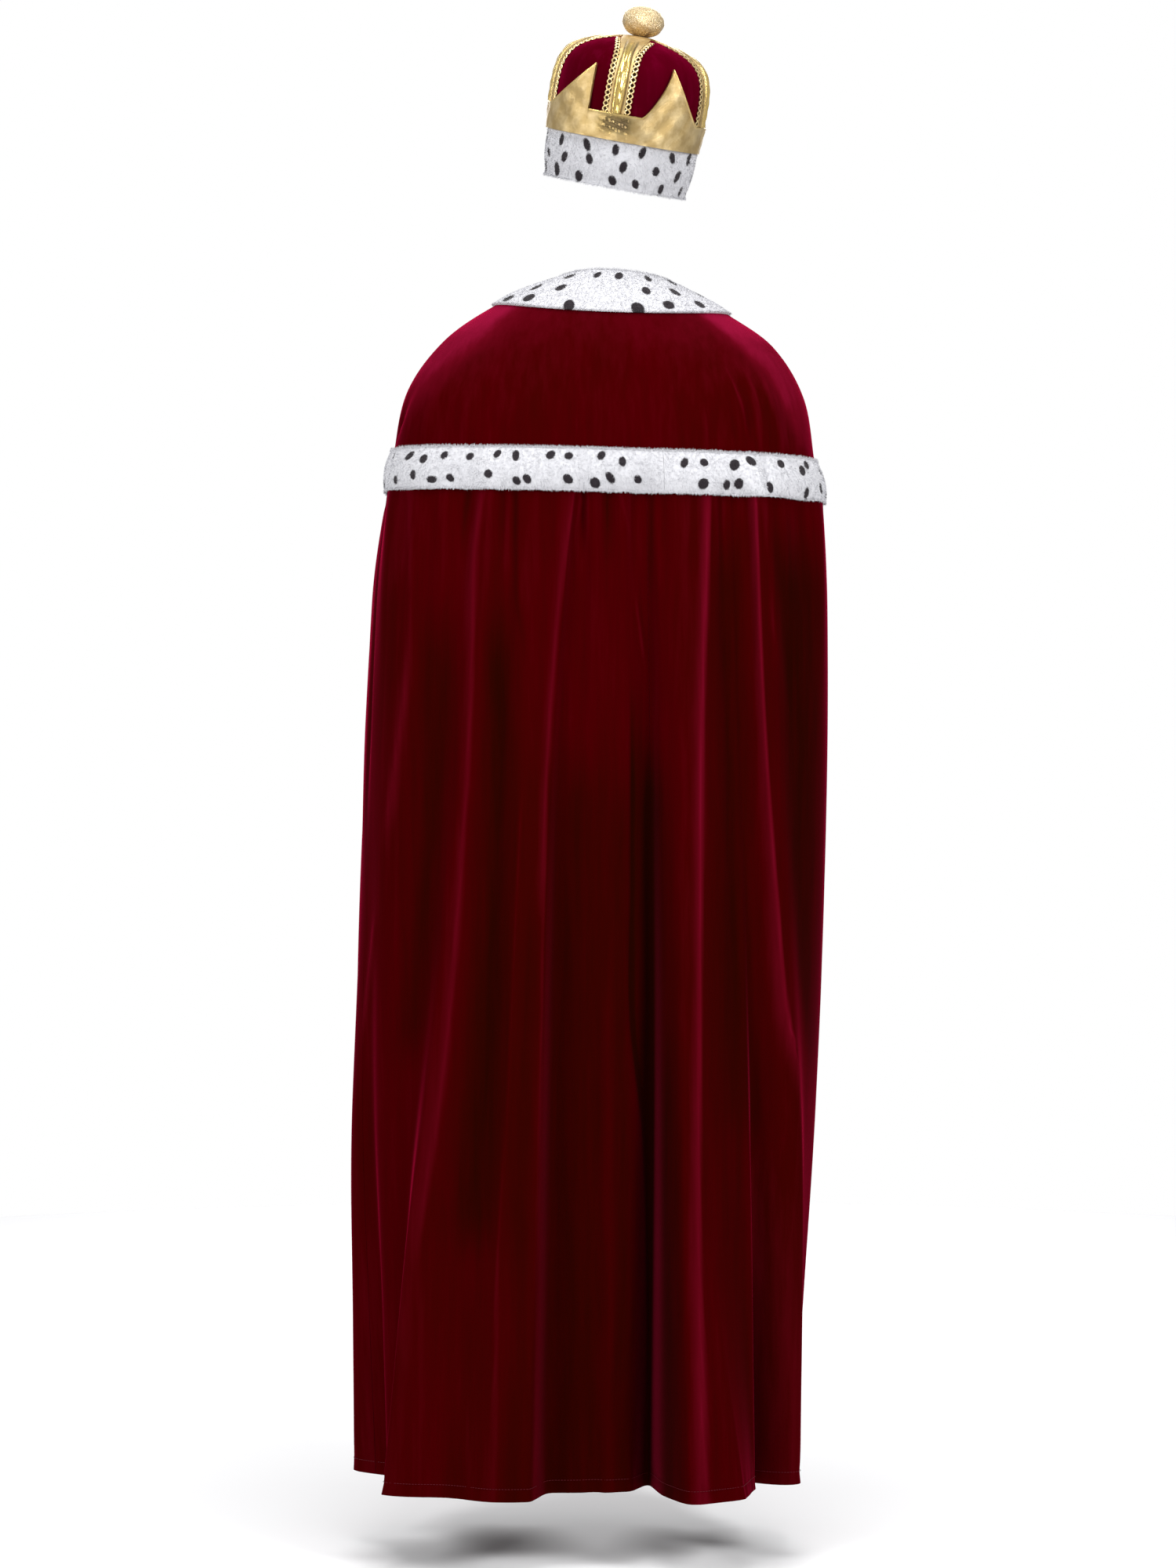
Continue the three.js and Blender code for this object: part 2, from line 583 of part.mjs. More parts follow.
/** Gold band with its four points, which stand a little off the velvet at their tips. */
function pointBand() {
  const marks = [];
  for (const { from, to, tip } of POINTS) {
    for (const share of [0, 0.3, 0.55, 0.8, 1]) marks.push(from + (tip - from) * share);
    if (to > tip) for (const share of [0.2, 0.45, 0.7, 1]) marks.push(tip + (to - tip) * share);
    else marks.push(tip + 1.2);
  }
  const sorted = marks.map((at) => (at + 540) % 360 - 180).sort((a, b) => a - b);
  const columns = sorted.flatMap((at, k) => {
    const gap = (k + 1 < sorted.length ? sorted[k + 1] : sorted[0] + 360) - at;
    const parts = Math.ceil(gap / POINT_BAND.maxStep);
    return Array.from({ length: parts }, (_, i) => at + gap * (i / parts));
  });
  const point = (degrees, share, outside) => {
    const top = pointEdge(degrees);
    const height = THREE.MathUtils.lerp(POINT_BAND.foot, top, share);
    const stand = POINT_BAND.flare * (1 + clamp((height - POINT_BAND.valley) / 40, 0, 1));
    const lift = POINT_BAND.lift + stand * share + (outside ? POINT_BAND.thickness : 0);
    return drumPoint(degrees, height, lift);
  };
  return mesh("crown_points", wall(columns, [0, 0.35, 0.7, 1], point, true), LAME);
}

/** Half the width of an arch at a height. */
function archHalf(height) {
  return along(ARCH_WIDTHS, "height", "half", height);
}

/** Half of an arch's sweep at a height, in degrees, which closes to a wedge near the middle. */
function archSweep(height, halfWidth) {
  const radius = along(DRUM_PROFILE, "height", "radius", height);
  return Math.min(THREE.MathUtils.radToDeg(halfWidth / radius), ARCH.maxDegrees);
}

/** Gold arches over the drum, each with a padded roll along its middle. */
function arches() {
  const heights = [ARCH.foot, ...DRUM_PROFILE.slice(2).map((row) => row.height)];
  return ARCHES.map(({ name, at }) => {
    const point = (share, height, outside) => {
      const degrees = at + share * archSweep(height, archHalf(height));
      const full = clamp((ARCH.rollEnd - height) / ARCH.rollFade, 0, 1);
      const roll = (ARCH.roll - ARCH.edge) * full * (1 - Math.abs(share)) ** 1.2;
      return drumPoint(degrees, height, GAP + (outside ? ARCH.edge + roll : 0));
    };
    return mesh(`crown_arch_${name}`, wall([-1, -0.45, 0, 0.45, 1], heights, point), LAME);
  });
}

/** Scroll braid along both edges of each arch. */
function braids() {
  const heights = [ARCH.foot, ...DRUM_PROFILE.slice(2, BRAID.topRow + 1).map((row) => row.height)];
  return ARCHES.flatMap(({ name, at }) => [-1, 1].map((side) => {
    const point = (share, height, outside) => {
      const away = archHalf(height) + GAP + BRAID.width * share;
      const degrees = at + side * archSweep(height, away);
      return drumPoint(degrees, height, GAP + (outside ? BRAID.thickness : 0));
    };
    const hand = side < 0 ? "a" : "b";
    return mesh(`crown_braid_${name}_${hand}`, wall([0, 0.5, 1], heights, point), BRAIDING);
  }));
}

/** Stuffed ball on top: a flattened sphere. */
function ball() {
  const geometry = new THREE.SphereGeometry(BALL.radius, BALL.columns, BALL.rows);
  geometry.rotateX(Math.PI / 2);
  geometry.scale(1, 1, BALL.halfHeight / BALL.radius);
  geometry.translate(0, 0, BALL.height);
  return mesh("crown_ball", geometry, LAME);
}

function crown() {
  const group = new THREE.Group();
  group.position.set(CROWN.x, CROWN.y, CROWN.z);
  group.rotation.set(radians(-CROWN.leanBack), radians(-CROWN.leanRight), 0);
  group.add(brim(), pointBand(), ...drumPanels(), ...arches(), ...braids(), ball());
  return group;
}

const costume = new THREE.Group();
costume.add(robe(), crown());

export default costume;
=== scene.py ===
"""Looks of the coronation robe and its crown hat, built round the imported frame.

Tables are in millimetres, as the pieces are cut, and each mesh is made in metres. The origin is the middle
of the neck, level with its nape. The front of the robe looks along -Y and its back along +Y. Left and
right are those of the garment as worn, so left is +X.
"""

import logging
from collections.abc import Callable
from dataclasses import dataclass, field
from enum import Enum

import bpy
import numpy as np
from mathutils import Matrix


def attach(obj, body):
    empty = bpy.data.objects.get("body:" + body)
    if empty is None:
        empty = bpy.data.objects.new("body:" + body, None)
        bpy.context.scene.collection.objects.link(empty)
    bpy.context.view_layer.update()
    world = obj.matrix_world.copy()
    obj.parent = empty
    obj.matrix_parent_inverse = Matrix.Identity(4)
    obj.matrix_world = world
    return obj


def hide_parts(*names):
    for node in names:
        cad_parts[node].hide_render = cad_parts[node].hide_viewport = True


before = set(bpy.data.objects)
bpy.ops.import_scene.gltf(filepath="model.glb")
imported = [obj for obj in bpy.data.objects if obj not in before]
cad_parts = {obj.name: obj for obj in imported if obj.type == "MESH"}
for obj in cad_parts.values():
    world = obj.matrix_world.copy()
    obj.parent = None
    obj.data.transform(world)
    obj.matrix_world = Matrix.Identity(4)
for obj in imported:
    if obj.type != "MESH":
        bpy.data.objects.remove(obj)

MM = 0.001
LOG = logging.getLogger("costume")

Colour = tuple[float, float, float]

# Sockets of a colour mix
FIRST_COLOUR = 6
SECOND_COLOUR = 7
MIXED_COLOUR = 2

# How often each texture repeats in a metre
STREAK_SCALE = 7.0
GRAIN_SCALE = 900.0
GLITTER_SCALE = 1500.0

# Cloth and fur
CLOTH = 2.0
GAP = 0.3
FUR_EDGE = 4.0
FUR_MIDDLE = 8.0

# Robe heights, measured at the centre back from the nape
NECK = -8.0
COLLAR_HEM = -62.0
BAND_TOP = -226.0
YOKE_SEAM = -250.0
BAND_FOOT = -276.0
HEM = -1450.0
GATHER_START = -222.0
MIDDLE_RING = -850.0
SIDE_SEAM = 322.0
BACK_SEAM = -58.0
GATHER_FULL = -300.0
HEM_ALLOWANCE = 15.0
SEAM_ALLOWANCE = 9.0

DOWN = np.array([0.0, 0.0, -1.0])
ALL_ROWS = slice(None)


class Side(Enum):
    """The two sides of the garment as worn, as the sign of X."""

    LEFT = 1
    RIGHT = -1


def curve_through(keys: list[float], values: list[float], at: np.ndarray) -> np.ndarray:
    """Cubic curve through points, held level past both ends.

    Between two points the curve is the cubic that has their values and, as its slope at each, the slope of
    the line between that point's neighbours.

    Args:
        keys: where the points lie, steadily rising or falling.
        values: the value at each.
        at: the places asked for.

    Returns:
        The value at each place.
    """
    k = np.asarray(keys, float)
    v = np.asarray(values, float)
    if k[-1] < k[0]:
        k, v = k[::-1], v[::-1]
    before = np.maximum(np.arange(len(k)) - 1, 0)
    after = np.minimum(np.arange(len(k)) + 1, len(k) - 1)
    slope = (v[after] - v[before]) / (k[after] - k[before])
    place = np.clip(np.asarray(at, float), k[0], k[-1])
    i = np.clip(np.searchsorted(k, place, side="right") - 1, 0, len(k) - 2)
    span = k[i + 1] - k[i]
    t = (place - k[i]) / span
    return (
        v[i] * (2 * t**3 - 3 * t**2 + 1)
        + slope[i] * span * (t**3 - 2 * t**2 + t)
        + v[i + 1] * (3 * t**2 - 2 * t**3)
        + slope[i + 1] * span * (t**3 - t**2)
    )


def straight_between(keys: np.ndarray, values: np.ndarray, at: np.ndarray) -> np.ndarray:
    """Straight-line value between the two rising keys round each place, carried on past both ends.

    Args:
        keys: where the points lie, rising.
        values: the value at each.
        at: the places asked for.

    Returns:
        The value at each place.
    """
    i = np.clip(np.searchsorted(keys, at, side="left") - 1, 0, len(keys) - 2)
    t = (at - keys[i]) / (keys[i + 1] - keys[i])
    return values[i] + t * (values[i + 1] - values[i])


def smooth_step(value: np.ndarray, start: float, end: float) -> np.ndarray:
    """Rises from 0 at start to 1 at end as 3t squared less 2t cubed.

    Args:
        value: the values.
        start: where the step starts.
        end: where it ends.

    Returns:
        The step at each value.
    """
    t = np.clip((np.asarray(value, float) - start) / (end - start), 0, 1)
    return t * t * (3 - 2 * t)


def unit(vectors: np.ndarray) -> np.ndarray:
    """Each vector divided by its own length."""
    return vectors / np.maximum(np.linalg.norm(vectors, axis=-1, keepdims=True), 1e-12)


def grid_normals(points: np.ndarray, outward: np.ndarray, closed: bool = False) -> np.ndarray:
    """Unit normals of a grid of points: the cross product of its two differences at each point.

    Args:
        points: rows, columns and 3 coordinates.
        outward: roughly which way is out, at each point.
        closed: whether the last column meets the first.

    Returns:
        Normals of the same shape, on the outer side.
    """
    if closed:
        across = np.roll(points, -1, axis=1) - np.roll(points, 1, axis=1)
    else:
        across = np.gradient(points, axis=1)
    normals = unit(np.cross(-np.gradient(points, axis=0), across))
    return -normals if (normals * outward).sum() < 0 else normals


def grid_faces(rows: int, columns: int, closed: bool, start: int = 0) -> np.ndarray:
    """Four-cornered faces of a grid of points that are numbered row by row.

    Args:
        rows: how many rows.
        columns: how many columns.
        closed: whether the last column meets the first.
        start: the number of the first point.

    Returns:
        One line of four point numbers for each face.
    """
    spans = columns if closed else columns - 1
    j, i = np.meshgrid(np.arange(rows - 1), np.arange(spans), indexing="ij")
    after = (i + 1) % columns
    top, foot = j * columns + start, (j + 1) * columns + start
    return np.stack([top + i, foot + i, foot + after, top + after], -1).reshape(-1, 4)


def signed_volume(points: np.ndarray, quads: np.ndarray) -> float:
    """Six times the volume within closed faces, negative where they point inwards.

    Args:
        points: corners of the faces.
        quads: four point numbers for each face.

    Returns:
        The volume, six times over.
    """
    a, b, c, d = (points[quads[:, k]] for k in range(4))
    return float((np.cross(a, b) * c).sum() + (np.cross(a, c) * d).sum())


@dataclass
class MeshParts:
    """Points, faces and point values that are gathered up and then made one mesh."""

    points: list[np.ndarray] = field(default_factory=list)
    faces: list[np.ndarray] = field(default_factory=list)
    values: dict[str, list[np.ndarray]] = field(default_factory=dict)
    finish: list[np.ndarray] = field(default_factory=list)
    count: int = 0

    def add(
        self, points: np.ndarray, faces: np.ndarray, slot: int | np.ndarray = 0, **values: np.ndarray
    ) -> None:
        """Adds points in millimetres with the faces on them.

        Args:
            points: any number of rows of 3 coordinates.
            faces: rows of 3 or 4 numbers of those points.
            slot: the material slot of the faces.
            values: named values, one for each point.
        """
        flat = points.reshape(-1, 3)
        self.points.append(flat)
        self.faces.append(faces + self.count)
        self.finish.append(np.broadcast_to(np.asarray(slot), (len(faces),)))
        for name, value in values.items():
            self.values.setdefault(name, []).append(np.broadcast_to(value, (len(flat),)))
        self.count += len(flat)

    def add_shell(
        self,
        outer: np.ndarray,
        inner: np.ndarray,
        closed: bool = False,
        inner_slot: int = 0,
        **values: np.ndarray,
    ) -> None:
        """Adds a closed wall between two grids of the same shape.

        Its faces are those of both grids and the strips that join their edges. They are turned round where
        the volume within them comes out negative.

        Args:
            outer: rows, columns and 3 coordinates.
            inner: the same for the inner side.
            closed: whether the last column meets the first.
            inner_slot: the material slot of the inner side.
            values: named values of the outer grid, which the inner grid shares.
        """
        rows, columns = outer.shape[:2]
        size = rows * columns
        front = grid_faces(rows, columns, closed)
        back = grid_faces(rows, columns, closed, size)[:, ::-1]
        spans = np.arange(columns if closed else columns - 1)
        after = (spans + 1) % columns
        foot = (rows - 1) * columns
        rims = [
            np.stack([spans, after, after + size, spans + size], -1),
            np.stack([foot + spans, foot + spans + size, foot + after + size, foot + after], -1),
        ]
        if not closed:
            j = np.arange(rows - 1) * columns
            last = j + columns - 1
            rims.append(np.stack([j, j + size, j + columns + size, j + columns], -1))
            rims.append(np.stack([last, last + columns, last + columns + size, last + size], -1))
        faces = np.concatenate([front, back, *rims])
        points = np.concatenate([outer.reshape(-1, 3), inner.reshape(-1, 3)])
        if signed_volume(points, faces) < 0:
            faces = faces[:, ::-1]
        slots = np.zeros(len(faces), int)
        slots[len(front) : len(front) + len(back)] = inner_slot
        doubled = {name: np.concatenate([np.ravel(v), np.ravel(v)]) for name, v in values.items()}
        self.add(points, faces, slots, **doubled)

    def build(self, name: str, materials: list[bpy.types.Material], sharp: float = 50.0) -> bpy.types.Object:
        """Makes the mesh object, smooth but for edges that turn by more than an angle.

        Args:
            name: the object's name.
            materials: its materials, by slot.
            sharp: the angle in degrees.

        Returns:
            The object, linked to the scene.
        """
        points = np.concatenate(self.points) * MM
        corners = np.concatenate([block.ravel() for block in self.faces])
        sizes = np.concatenate([np.full(len(block), block.shape[1]) for block in self.faces])
        mesh = bpy.data.meshes.new(name)
        mesh.vertices.add(len(points))
        mesh.vertices.foreach_set("co", points.astype(np.float32).ravel())
        mesh.loops.add(len(corners))
        mesh.loops.foreach_set("vertex_index", corners.astype(np.int32))
        mesh.polygons.add(len(sizes))
        mesh.polygons.foreach_set("loop_start", (np.cumsum(sizes) - sizes).astype(np.int32))
        mesh.update(calc_edges=True)
        for material in materials:
            mesh.materials.append(material)
        mesh.polygons.foreach_set("material_index", np.concatenate(self.finish).astype(np.int32))
        mesh.polygons.foreach_set("use_smooth", np.ones(len(sizes), bool))
        for key, blocks in self.values.items():
            layer = mesh.attributes.new(key, "FLOAT", "POINT")
            layer.data.foreach_set("value", np.concatenate(blocks).astype(np.float32))
        mesh.set_sharp_from_angle(angle=np.radians(sharp))
        mesh.update()
        made = bpy.data.objects.new(name, mesh)
        bpy.context.scene.collection.objects.link(made)
        return made


def place(piece: bpy.types.Object, *nodes: str, slot: str) -> bpy.types.Object:
    """Rides a piece on the body and hides the solids that it stands for.

    Args:
        piece: the finished mesh object.
        nodes: the solids that it replaces.
        slot: not used.

    Returns:
        The same object.
    """
    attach(piece, "root")
    if nodes:
        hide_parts(*nodes)
    faces = len(piece.data.polygons)
    LOG.info("%s: %d faces, stands for %s", piece.name, faces, ", ".join(nodes) or "nothing")
    return piece


def feed(tree: bpy.types.NodeTree, socket: bpy.types.NodeSocket, value: object) -> None:
    """Links an output to an input or, if the value is no output, sets the input's own value.

    Args:
        tree: the tree of both.
        socket: the input.
        value: an output, a number, a vector, or a colour without its alpha.
    """
    if isinstance(value, bpy.types.NodeSocket):
        tree.links.new(value, socket)
    else:
        socket.default_value = (*value, 1) if socket.type == "RGBA" else value


def dress(tree: bpy.types.NodeTree, made: bpy.types.Node, **settings: object) -> bpy.types.Node:
    """Sets properties and inputs of a node.

    Args:
        tree: the tree of the node.
        made: the node.
        settings: its properties and, with _ for each space, its inputs. An input takes what feed takes.

    Returns:
        The same node.
    """
    for name, value in settings.items():
        if hasattr(made, name):
            setattr(made, name, value)
        else:
            feed(tree, made.inputs[name.replace("_", " ")], value)
    return made


def node(tree: bpy.types.NodeTree, kind: str, **settings: object) -> bpy.types.Node:
    """Adds a node with the settings that dress takes."""
    return dress(tree, tree.nodes.new(kind), **settings)


def noise(
    tree: bpy.types.NodeTree,
    where: bpy.types.NodeSocket,
    scale: object,
    detail: float,
    roughness: float = 0.5,
) -> bpy.types.NodeSocket:
    """Adds a noise texture.

    Args:
        tree: the tree that it goes into.
        where: the place on the piece.
        scale: how often it repeats in a metre.
        detail: how many finer noises lie on it.
        roughness: how strong they are.

    Returns:
        Its value.
    """
    made = node(tree, "ShaderNodeTexNoise", Vector=where, Scale=scale, Detail=detail, Roughness=roughness)
    return made.outputs["Fac"]


def ranged(
    tree: bpy.types.NodeTree,
    value: bpy.types.NodeSocket,
    span: tuple[float, float] = (0.0, 1.0),
    onto: tuple[float, float] = (0.0, 1.0),
    curve: str = "LINEAR",
) -> bpy.types.NodeSocket:
    """Turns a value within one span into a value within another, held at its ends.

    Args:
        tree: the tree that the node goes into.
        value: the value.
        span: where it starts and ends.
        onto: what these two become.
        curve: the kind of step between them.

    Returns:
        The new value.
    """
    made = node(tree, "ShaderNodeMapRange", interpolation_type=curve, Value=value)
    dress(tree, made, From_Min=span[0], From_Max=span[1], To_Min=onto[0], To_Max=onto[1])
    return made.outputs["Result"]


def reckon(tree: bpy.types.NodeTree, operation: str, *terms: object) -> bpy.types.NodeSocket:
    """Works out a sum.

    Args:
        tree: the tree that the node goes into.
        operation: the kind of sum.
        terms: its terms, each a number or an output.

    Returns:
        The result.
    """
    made = node(tree, "ShaderNodeMath", operation=operation)
    for socket, term in zip(made.inputs, terms):
        feed(tree, socket, term)
    return made.outputs["Value"]


def blend(
    tree: bpy.types.NodeTree, share: bpy.types.NodeSocket, first: object, second: object
) -> bpy.types.NodeSocket:
    """Mixes two colours.

    Args:
        tree: the tree that the node goes into.
        share: how much there is of the second.
        first: a colour or an output.
        second: the same.

    Returns:
        The mixed colour.
    """
    made = node(tree, "ShaderNodeMix", data_type="RGBA", Factor=share)
    feed(tree, made.inputs[FIRST_COLOUR], first)
    feed(tree, made.inputs[SECOND_COLOUR], second)
    return made.outputs[MIXED_COLOUR]


def effect_group(
    name: str, inputs: dict[str, float | None], outputs: list[str]
) -> tuple[bpy.types.NodeTree, bpy.types.NodeOutputs, bpy.types.NodeInputs]:
    """Makes an empty shader group with named sockets.

    Args:
        name: its name.
        inputs: the value that each input has at first. None makes it a vector.
        outputs: names of its outputs, each a single value.

    Returns:
        The group, the sockets that its inputs come out of, and those that its outputs go into.
    """
    tree = bpy.data.node_groups.new(name, "ShaderNodeTree")
    for label, value in inputs.items():
        kind = "NodeSocketVector" if value is None else "NodeSocketFloat"
        socket = tree.interface.new_socket(label, in_out="INPUT", socket_type=kind)
        if value is not None:
            socket.default_value = value
    for label in outputs:
        tree.interface.new_socket(label, in_out="OUTPUT", socket_type="NodeSocketFloat")
    return tree, node(tree, "NodeGroupInput").outputs, node(tree, "NodeGroupOutput").inputs


def nap_group() -> bpy.types.NodeTree:
    """Pile of a velvet: its long soft streaks and fine grain, and the painted light laid on it.

    Lie is the piece's own value of painted light, 1 for a painted highlight and -1 for painted shade. A thin
    streaked noise roughens it.

    Returns:
        A group with Streaks, Open, Closed and Bright from 0 to 1, and Grain, the height of the pile's ends.
        Open is the painted highlight and Closed the painted shade. Bright is a stronger painted highlight,
        for cloth whose value is above 1, where it faces the light.
    """
    inputs = {"Vector": None, "Lie": 0.0, "Streak scale": STREAK_SCALE, "Grain scale": GRAIN_SCALE}
    tree, given, made = effect_group("Velvet nap", inputs, ["Streaks", "Highlight", "Closed", "Bright", "Grain"])
    where = given["Vector"]
    long, thin = (
        node(tree, "ShaderNodeMapping", Vector=where, Scale=(1.0, 1.0, upright)).outputs["Vector"]
        for upright in (0.22, 0.07)
    )
    broad = noise(tree, long, given["Streak scale"], 4.0, 0.55)
    swing = ranged(tree, noise(tree, thin, 95.0, 3.0, 0.6), (0.3, 0.7), (-0.17, 0.13))
    # The piece's painted light value, roughened by the streaked noise
    lie = reckon(tree, "ADD", given["Lie"], swing)
    feed(tree, made["Streaks"], ranged(tree, broad, (0.36, 0.66), curve="SMOOTHSTEP"))
    feed(tree, made["Highlight"], ranged(tree, lie))
    feed(tree, made["Closed"], ranged(tree, lie, (0.0, -1.0)))
    feed(tree, made["Bright"], ranged(tree, lie, (1.0, 2.0)))
    feed(tree, made["Grain"], noise(tree, where, given["Grain scale"], 2.0, 0.6))
    return tree


def crinkle_group() -> bpy.types.NodeTree:
    """Small dents of gold cloth: cell-shaped dents with a finer grain over them.

    Returns:
        A group with Height, and Glint, which is high in a few small cells.
    """
    inputs = {"Vector": None, "Dent scale": 160.0, "Grain scale": GLITTER_SCALE}
    tree, given, made = effect_group("Gold crinkle", inputs, ["Height", "Glint"])
    where = given["Vector"]
    dents = noise(tree, where, given["Dent scale"], 3.0, 0.6)
    grain = node(tree, "ShaderNodeTexVoronoi", feature="F1", Vector=where, Scale=given["Grain scale"])
    feed(tree, made["Height"], reckon(tree, "MULTIPLY_ADD", grain.outputs["Distance"], 0.25, dents))
    feed(tree, made["Glint"], ranged(tree, dents, (0.42, 0.66)))
    return tree


def blank_material(name: str) -> tuple[bpy.types.Material, bpy.types.NodeTree, bpy.types.Node]:
    """Makes a material.

    Args:
        name: its name.

    Returns:
        The material, its node tree and its surface shader.
    """
    material = bpy.data.materials.new(name)
    material.use_nodes = True
    tree = material.node_tree
    return material, tree, tree.nodes["Principled BSDF"]


def on_piece(tree: bpy.types.NodeTree) -> bpy.types.NodeSocket:
    """The place on the piece, in metres."""
    return node(tree, "ShaderNodeTexCoord").outputs["Object"]


def own_value(tree: bpy.types.NodeTree, name: str) -> bpy.types.NodeSocket:
    """The piece's own value of a name."""
    return node(tree, "ShaderNodeAttribute", attribute_name=name).outputs["Fac"]


@dataclass(frozen=True)
class VelvetFinish:
    """Velvet: deep where its pile is seen end on, with long streaks where the pile turns away.

    Painted light lies on it: the piece's nap value mixes in painted shade, down to -1, a painted highlight,
    up to 1, and a stronger painted highlight from 1 to 2.
    """

    name: str
    deep: Colour
    turned: Colour
    # Painted light: a painted highlight, a stronger painted highlight and painted shade
    painted_highlight: Colour
    painted_strong_highlight: Colour
    painted_shade: Colour
    sheen: Colour
    streaks: float = 0.7
    grain: float = 0.0005

    def material(self, nap: bpy.types.NodeTree) -> bpy.types.Material:
        """Builds the material.

        Args:
            nap: the group of the velvet's pile and of its painted light.

        Returns:
            The material.
        """
        material, tree, shader = blank_material(self.name)
        pile = node(tree, "ShaderNodeGroup", node_tree=nap, Vector=on_piece(tree))
        dress(tree, pile, Lie=own_value(tree, "nap"), Streak_scale=STREAK_SCALE, Grain_scale=GRAIN_SCALE)
        share = reckon(tree, "MULTIPLY", pile.outputs["Streaks"], self.streaks)
        colour = blend(tree, share, self.deep, self.turned)
        # Painted shade in hollows, painted highlights on ridges and slopes, stronger where the cloth faces
        # the lamps
        for effect, tone in (("Closed", self.painted_shade), ("Highlight", self.painted_highlight), ("Bright", self.painted_strong_highlight)):
            colour = blend(tree, pile.outputs[effect], colour, tone)
        bump = node(tree, "ShaderNodeBump", Strength=0.35, Distance=self.grain, Height=pile.outputs["Grain"])
        dress(tree, shader, Base_Color=colour, Normal=bump.outputs["Normal"], Roughness=0.85)
        dress(tree, shader, Specular_IOR_Level=0.0, Sheen_Tint=self.sheen)
        dress(tree, shader, Sheen_Weight=0.42, Sheen_Roughness=0.3)
        return material


@dataclass(frozen=True)
class FurFinish:
    """White plush with dark tails. The piece's tail value is its distance in millimetres within a tail."""

    name: str
    white: Colour
    shade: Colour
    tail: Colour
    blur: float = 0.7
    ragged: float = 2.2

    def material(self) -> bpy.types.Material:
        """Builds the material: the tail value is roughened by noise and cut over a soft edge.

        Returns:
            The material.
        """
        material, tree, shader = blank_material(self.name)
        where = on_piece(tree)
        rough = noise(tree, where, 900.0, 2.0)
        depth = reckon(tree, "MULTIPLY_ADD", rough, self.ragged, own_value(tree, "tail"))
        middle = self.ragged / 2
        cut = ranged(tree, depth, (middle - self.blur, middle + self.blur), curve="SMOOTHSTEP")
        ground = blend(tree, noise(tree, where, 260.0, 3.0), self.shade, self.white)
        dress(tree, shader, Base_Color=blend(tree, cut, ground, self.tail), Roughness=0.9)
        dress(tree, shader, Specular_IOR_Level=0.1, Sheen_Weight=0.25, Sheen_Roughness=0.5)
        return material


@dataclass(frozen=True)
class GoldFinish:
    """Gold cloth: a metal sheen over dents, smooth and yellow as foil where the piece's foil value is 1.

    It is painted dark brown where the piece's shade value is 1: painted shade and painted dark reflections.
    """

    name: str
    bright: Colour
    dull: Colour
    foil: Colour
    brown: Colour
    roughness: float
    foil_roughness: float
    dent_scale: float
    dent_depth: float
    metallic: float = 0.85
    foil_dents: float = 0.12

    def material(self, crinkle: bpy.types.NodeTree) -> bpy.types.Material:
        """Builds the material.

        Args:
            crinkle: the group of the cloth's dents.

        Returns:
            The material.
        """
        material, tree, shader = blank_material(self.name)
        foil, shade = own_value(tree, "foil"), own_value(tree, "shade")
        dents = node(tree, "ShaderNodeGroup", node_tree=crinkle, Vector=on_piece(tree))
        dress(tree, dents, Dent_scale=self.dent_scale, Grain_scale=GLITTER_SCALE)
        calm = ranged(tree, foil, onto=(1.0, self.foil_dents))
        height = reckon(tree, "MULTIPLY", dents.outputs["Height"], calm)
        bump = node(tree, "ShaderNodeBump", Strength=0.6, Distance=self.dent_depth, Height=height)
        colour = blend(tree, dents.outputs["Glint"], self.dull, self.bright)
        # Painted shade and painted dark reflections where the shade value is high
        colour = blend(tree, shade, blend(tree, foil, colour, self.foil), self.brown)
        finish = ranged(tree, foil, onto=(self.roughness, self.foil_roughness))
        dress(tree, shader, Base_Color=colour, Normal=bump.outputs["Normal"])
        dress(tree, shader, Roughness=finish, Metallic=self.metallic)
        return material


@dataclass(frozen=True)
class PlainFinish:
    """A finish of one colour: thread, and the wrong side of the velvet."""

    name: str
    colour: Colour
    roughness: float

    def material(self) -> bpy.types.Material:
        """Builds the material.

        Returns:
            The material.
        """
        material, tree, shader = blank_material(self.name)
        dress(tree, shader, Base_Color=self.colour, Roughness=self.roughness, Specular_IOR_Level=0.2)
        return material


ROBE_VELVET = VelvetFinish(
    name="Robe velvet",
    deep=(0.046, 0.0, 0.0006),
    turned=(0.03, 0.0008, 0.0001),
    # Painted highlight, stronger painted highlight and painted shade of the robe's velvet
    painted_highlight=(0.092, 0.0013, 0.006),
    painted_strong_highlight=(0.19, 0.004, 0.024),
    painted_shade=(0.014, 0.0011, 0.0),
    sheen=(0.9, 0.015, 0.1),
)
CROWN_VELVET = VelvetFinish(
    name="Crown velvet",
    deep=(0.082, 0.0, 0.008),
    turned=(0.045, 0.0, 0.002),
    # Painted highlight, stronger painted highlight and painted shade of the crown's velvet
    painted_highlight=(0.17, 0.002, 0.03),
    painted_strong_highlight=(0.19, 0.004, 0.034),
    painted_shade=(0.03, 0.0, 0.001),
    sheen=(0.9, 0.02, 0.14),
    streaks=0.8,
)
WRONG_SIDE = PlainFinish("Wrong side of velvet", (0.05, 0.001, 0.004), 0.95)
THREAD = PlainFinish("Wine thread", (0.09, 0.002, 0.008), 0.6)
PLUSH = FurFinish("Ermine plush", (0.635, 0.635, 0.66), (0.59, 0.59, 0.62), (0.022, 0.017, 0.021))
